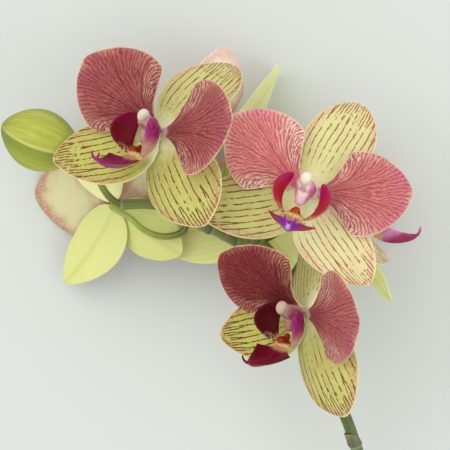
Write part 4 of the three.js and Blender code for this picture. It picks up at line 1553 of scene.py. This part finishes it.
# %% The stem, its bracts, the flower stalks and the bud in place
STALK_FINISH = stalk_finish()
ALONG = np.linspace(0, 1, PEDICEL["rings"])
finish_piece(stem_mesh(), "stem", stem_finish())
finish_piece(bracts_mesh(), "stem", bract_finish())
for flower in FLOWERS:
    mesh = stalk_mesh(f"{flower}_stalk", stalk_line(flower, ALONG), ALONG)
    finish_piece(mesh, f"flower_{flower}_pedicel", STALK_FINISH)
mesh = stalk_mesh("bud_stalk", bezier(BUD_STALK, ALONG), ALONG)
finish_piece(mesh, "bud_pedicel", STALK_FINISH)
finish_piece(bud_mesh(), "bud", bud_finish())
print("stalks:", len(FLOWERS) + 1)

# %% [markdown]
# ## The floor, the light and the camera
#
# The floor is a plain pale sheet. A real studio would hang a large soft box over the flowers, so
# the light here is one broad lamp above and to the left, a weaker one from the right, and a pale
# sky all round that keeps the shadows open. The camera is straight above the flower head and looks
# down, with the long lens that a close view of flowers is taken with.

# %% Floor
FLOOR = {"half": 3.0, "drop": 0.0002}


def floor_finish():
    floor = Finish("floor")
    spot = floor.noise(floor.object_place(), 3.0, 2.0)
    return floor.surface(floor.blend(spot * 0.3, (214, 217, 210), (207, 210, 202)), 0.9)


def lay_floor():
    """A square sheet, a hair under the flowers."""
    half = FLOOR["half"]
    mesh = bpy.data.meshes.new("floor")
    corners = [(-half, -half, 0), (half, -half, 0), (half, half, 0), (-half, half, 0)]
    mesh.from_pydata(corners, [], [(0, 1, 2, 3)])
    mesh.materials.append(floor_finish())
    piece = bpy.data.objects.new("floor", mesh)
    piece.location.z = -FLOOR["drop"]
    bpy.context.scene.collection.objects.link(piece)


lay_floor()

# %% Light and camera
VIEW_HEIGHT = 0.87
VIEW_HALF_WIDTH = 0.099
VIEW_DEPTH = 0.8
LAMP_AIM = Vector((HEAD[0] * MM, HEAD[1] * MM, 0.06))
SKY_COLOUR = (0.93, 0.96, 1.0, 1.0)


def lamp(name, place, size, power, colour):
    """A square soft box at a place, turned towards the flower head."""
    light = bpy.data.lights.new(name, "AREA")
    light.shape = "SQUARE"
    light.size = size
    light.energy = power
    light.color = colour
    holder = bpy.data.objects.new(name, light)
    holder.location = place
    holder.rotation_euler = (LAMP_AIM - Vector(place)).to_track_quat("-Z", "Y").to_euler()
    bpy.context.scene.collection.objects.link(holder)


def sky(strength):
    world = bpy.data.worlds.new("studio")
    world.use_nodes = True
    background = world.node_tree.nodes["Background"]
    background.inputs["Color"].default_value = SKY_COLOUR
    background.inputs["Strength"].default_value = strength
    bpy.context.scene.world = world


def place_camera():
    lens = bpy.data.cameras.new("camera")
    lens.sensor_fit = "HORIZONTAL"
    lens.angle = 2 * np.arctan(VIEW_HALF_WIDTH / VIEW_DEPTH)
    lens.clip_start = 0.01
    camera = bpy.data.objects.new("camera", lens)
    camera.location = (HEAD[0] * MM, HEAD[1] * MM, VIEW_HEIGHT)
    bpy.context.scene.collection.objects.link(camera)
    bpy.context.scene.camera = camera


lamp("soft_box", place=(-0.6, 0.5, 1.1), size=1.2, power=5.8, colour=(1.0, 0.98, 0.95))
lamp("fill_box", place=(0.7, -0.2, 0.8), size=0.6, power=2.0, colour=(0.95, 0.97, 1.0))
sky(strength=0.91)
place_camera()
bpy.context.scene.view_settings.view_transform = "Standard"
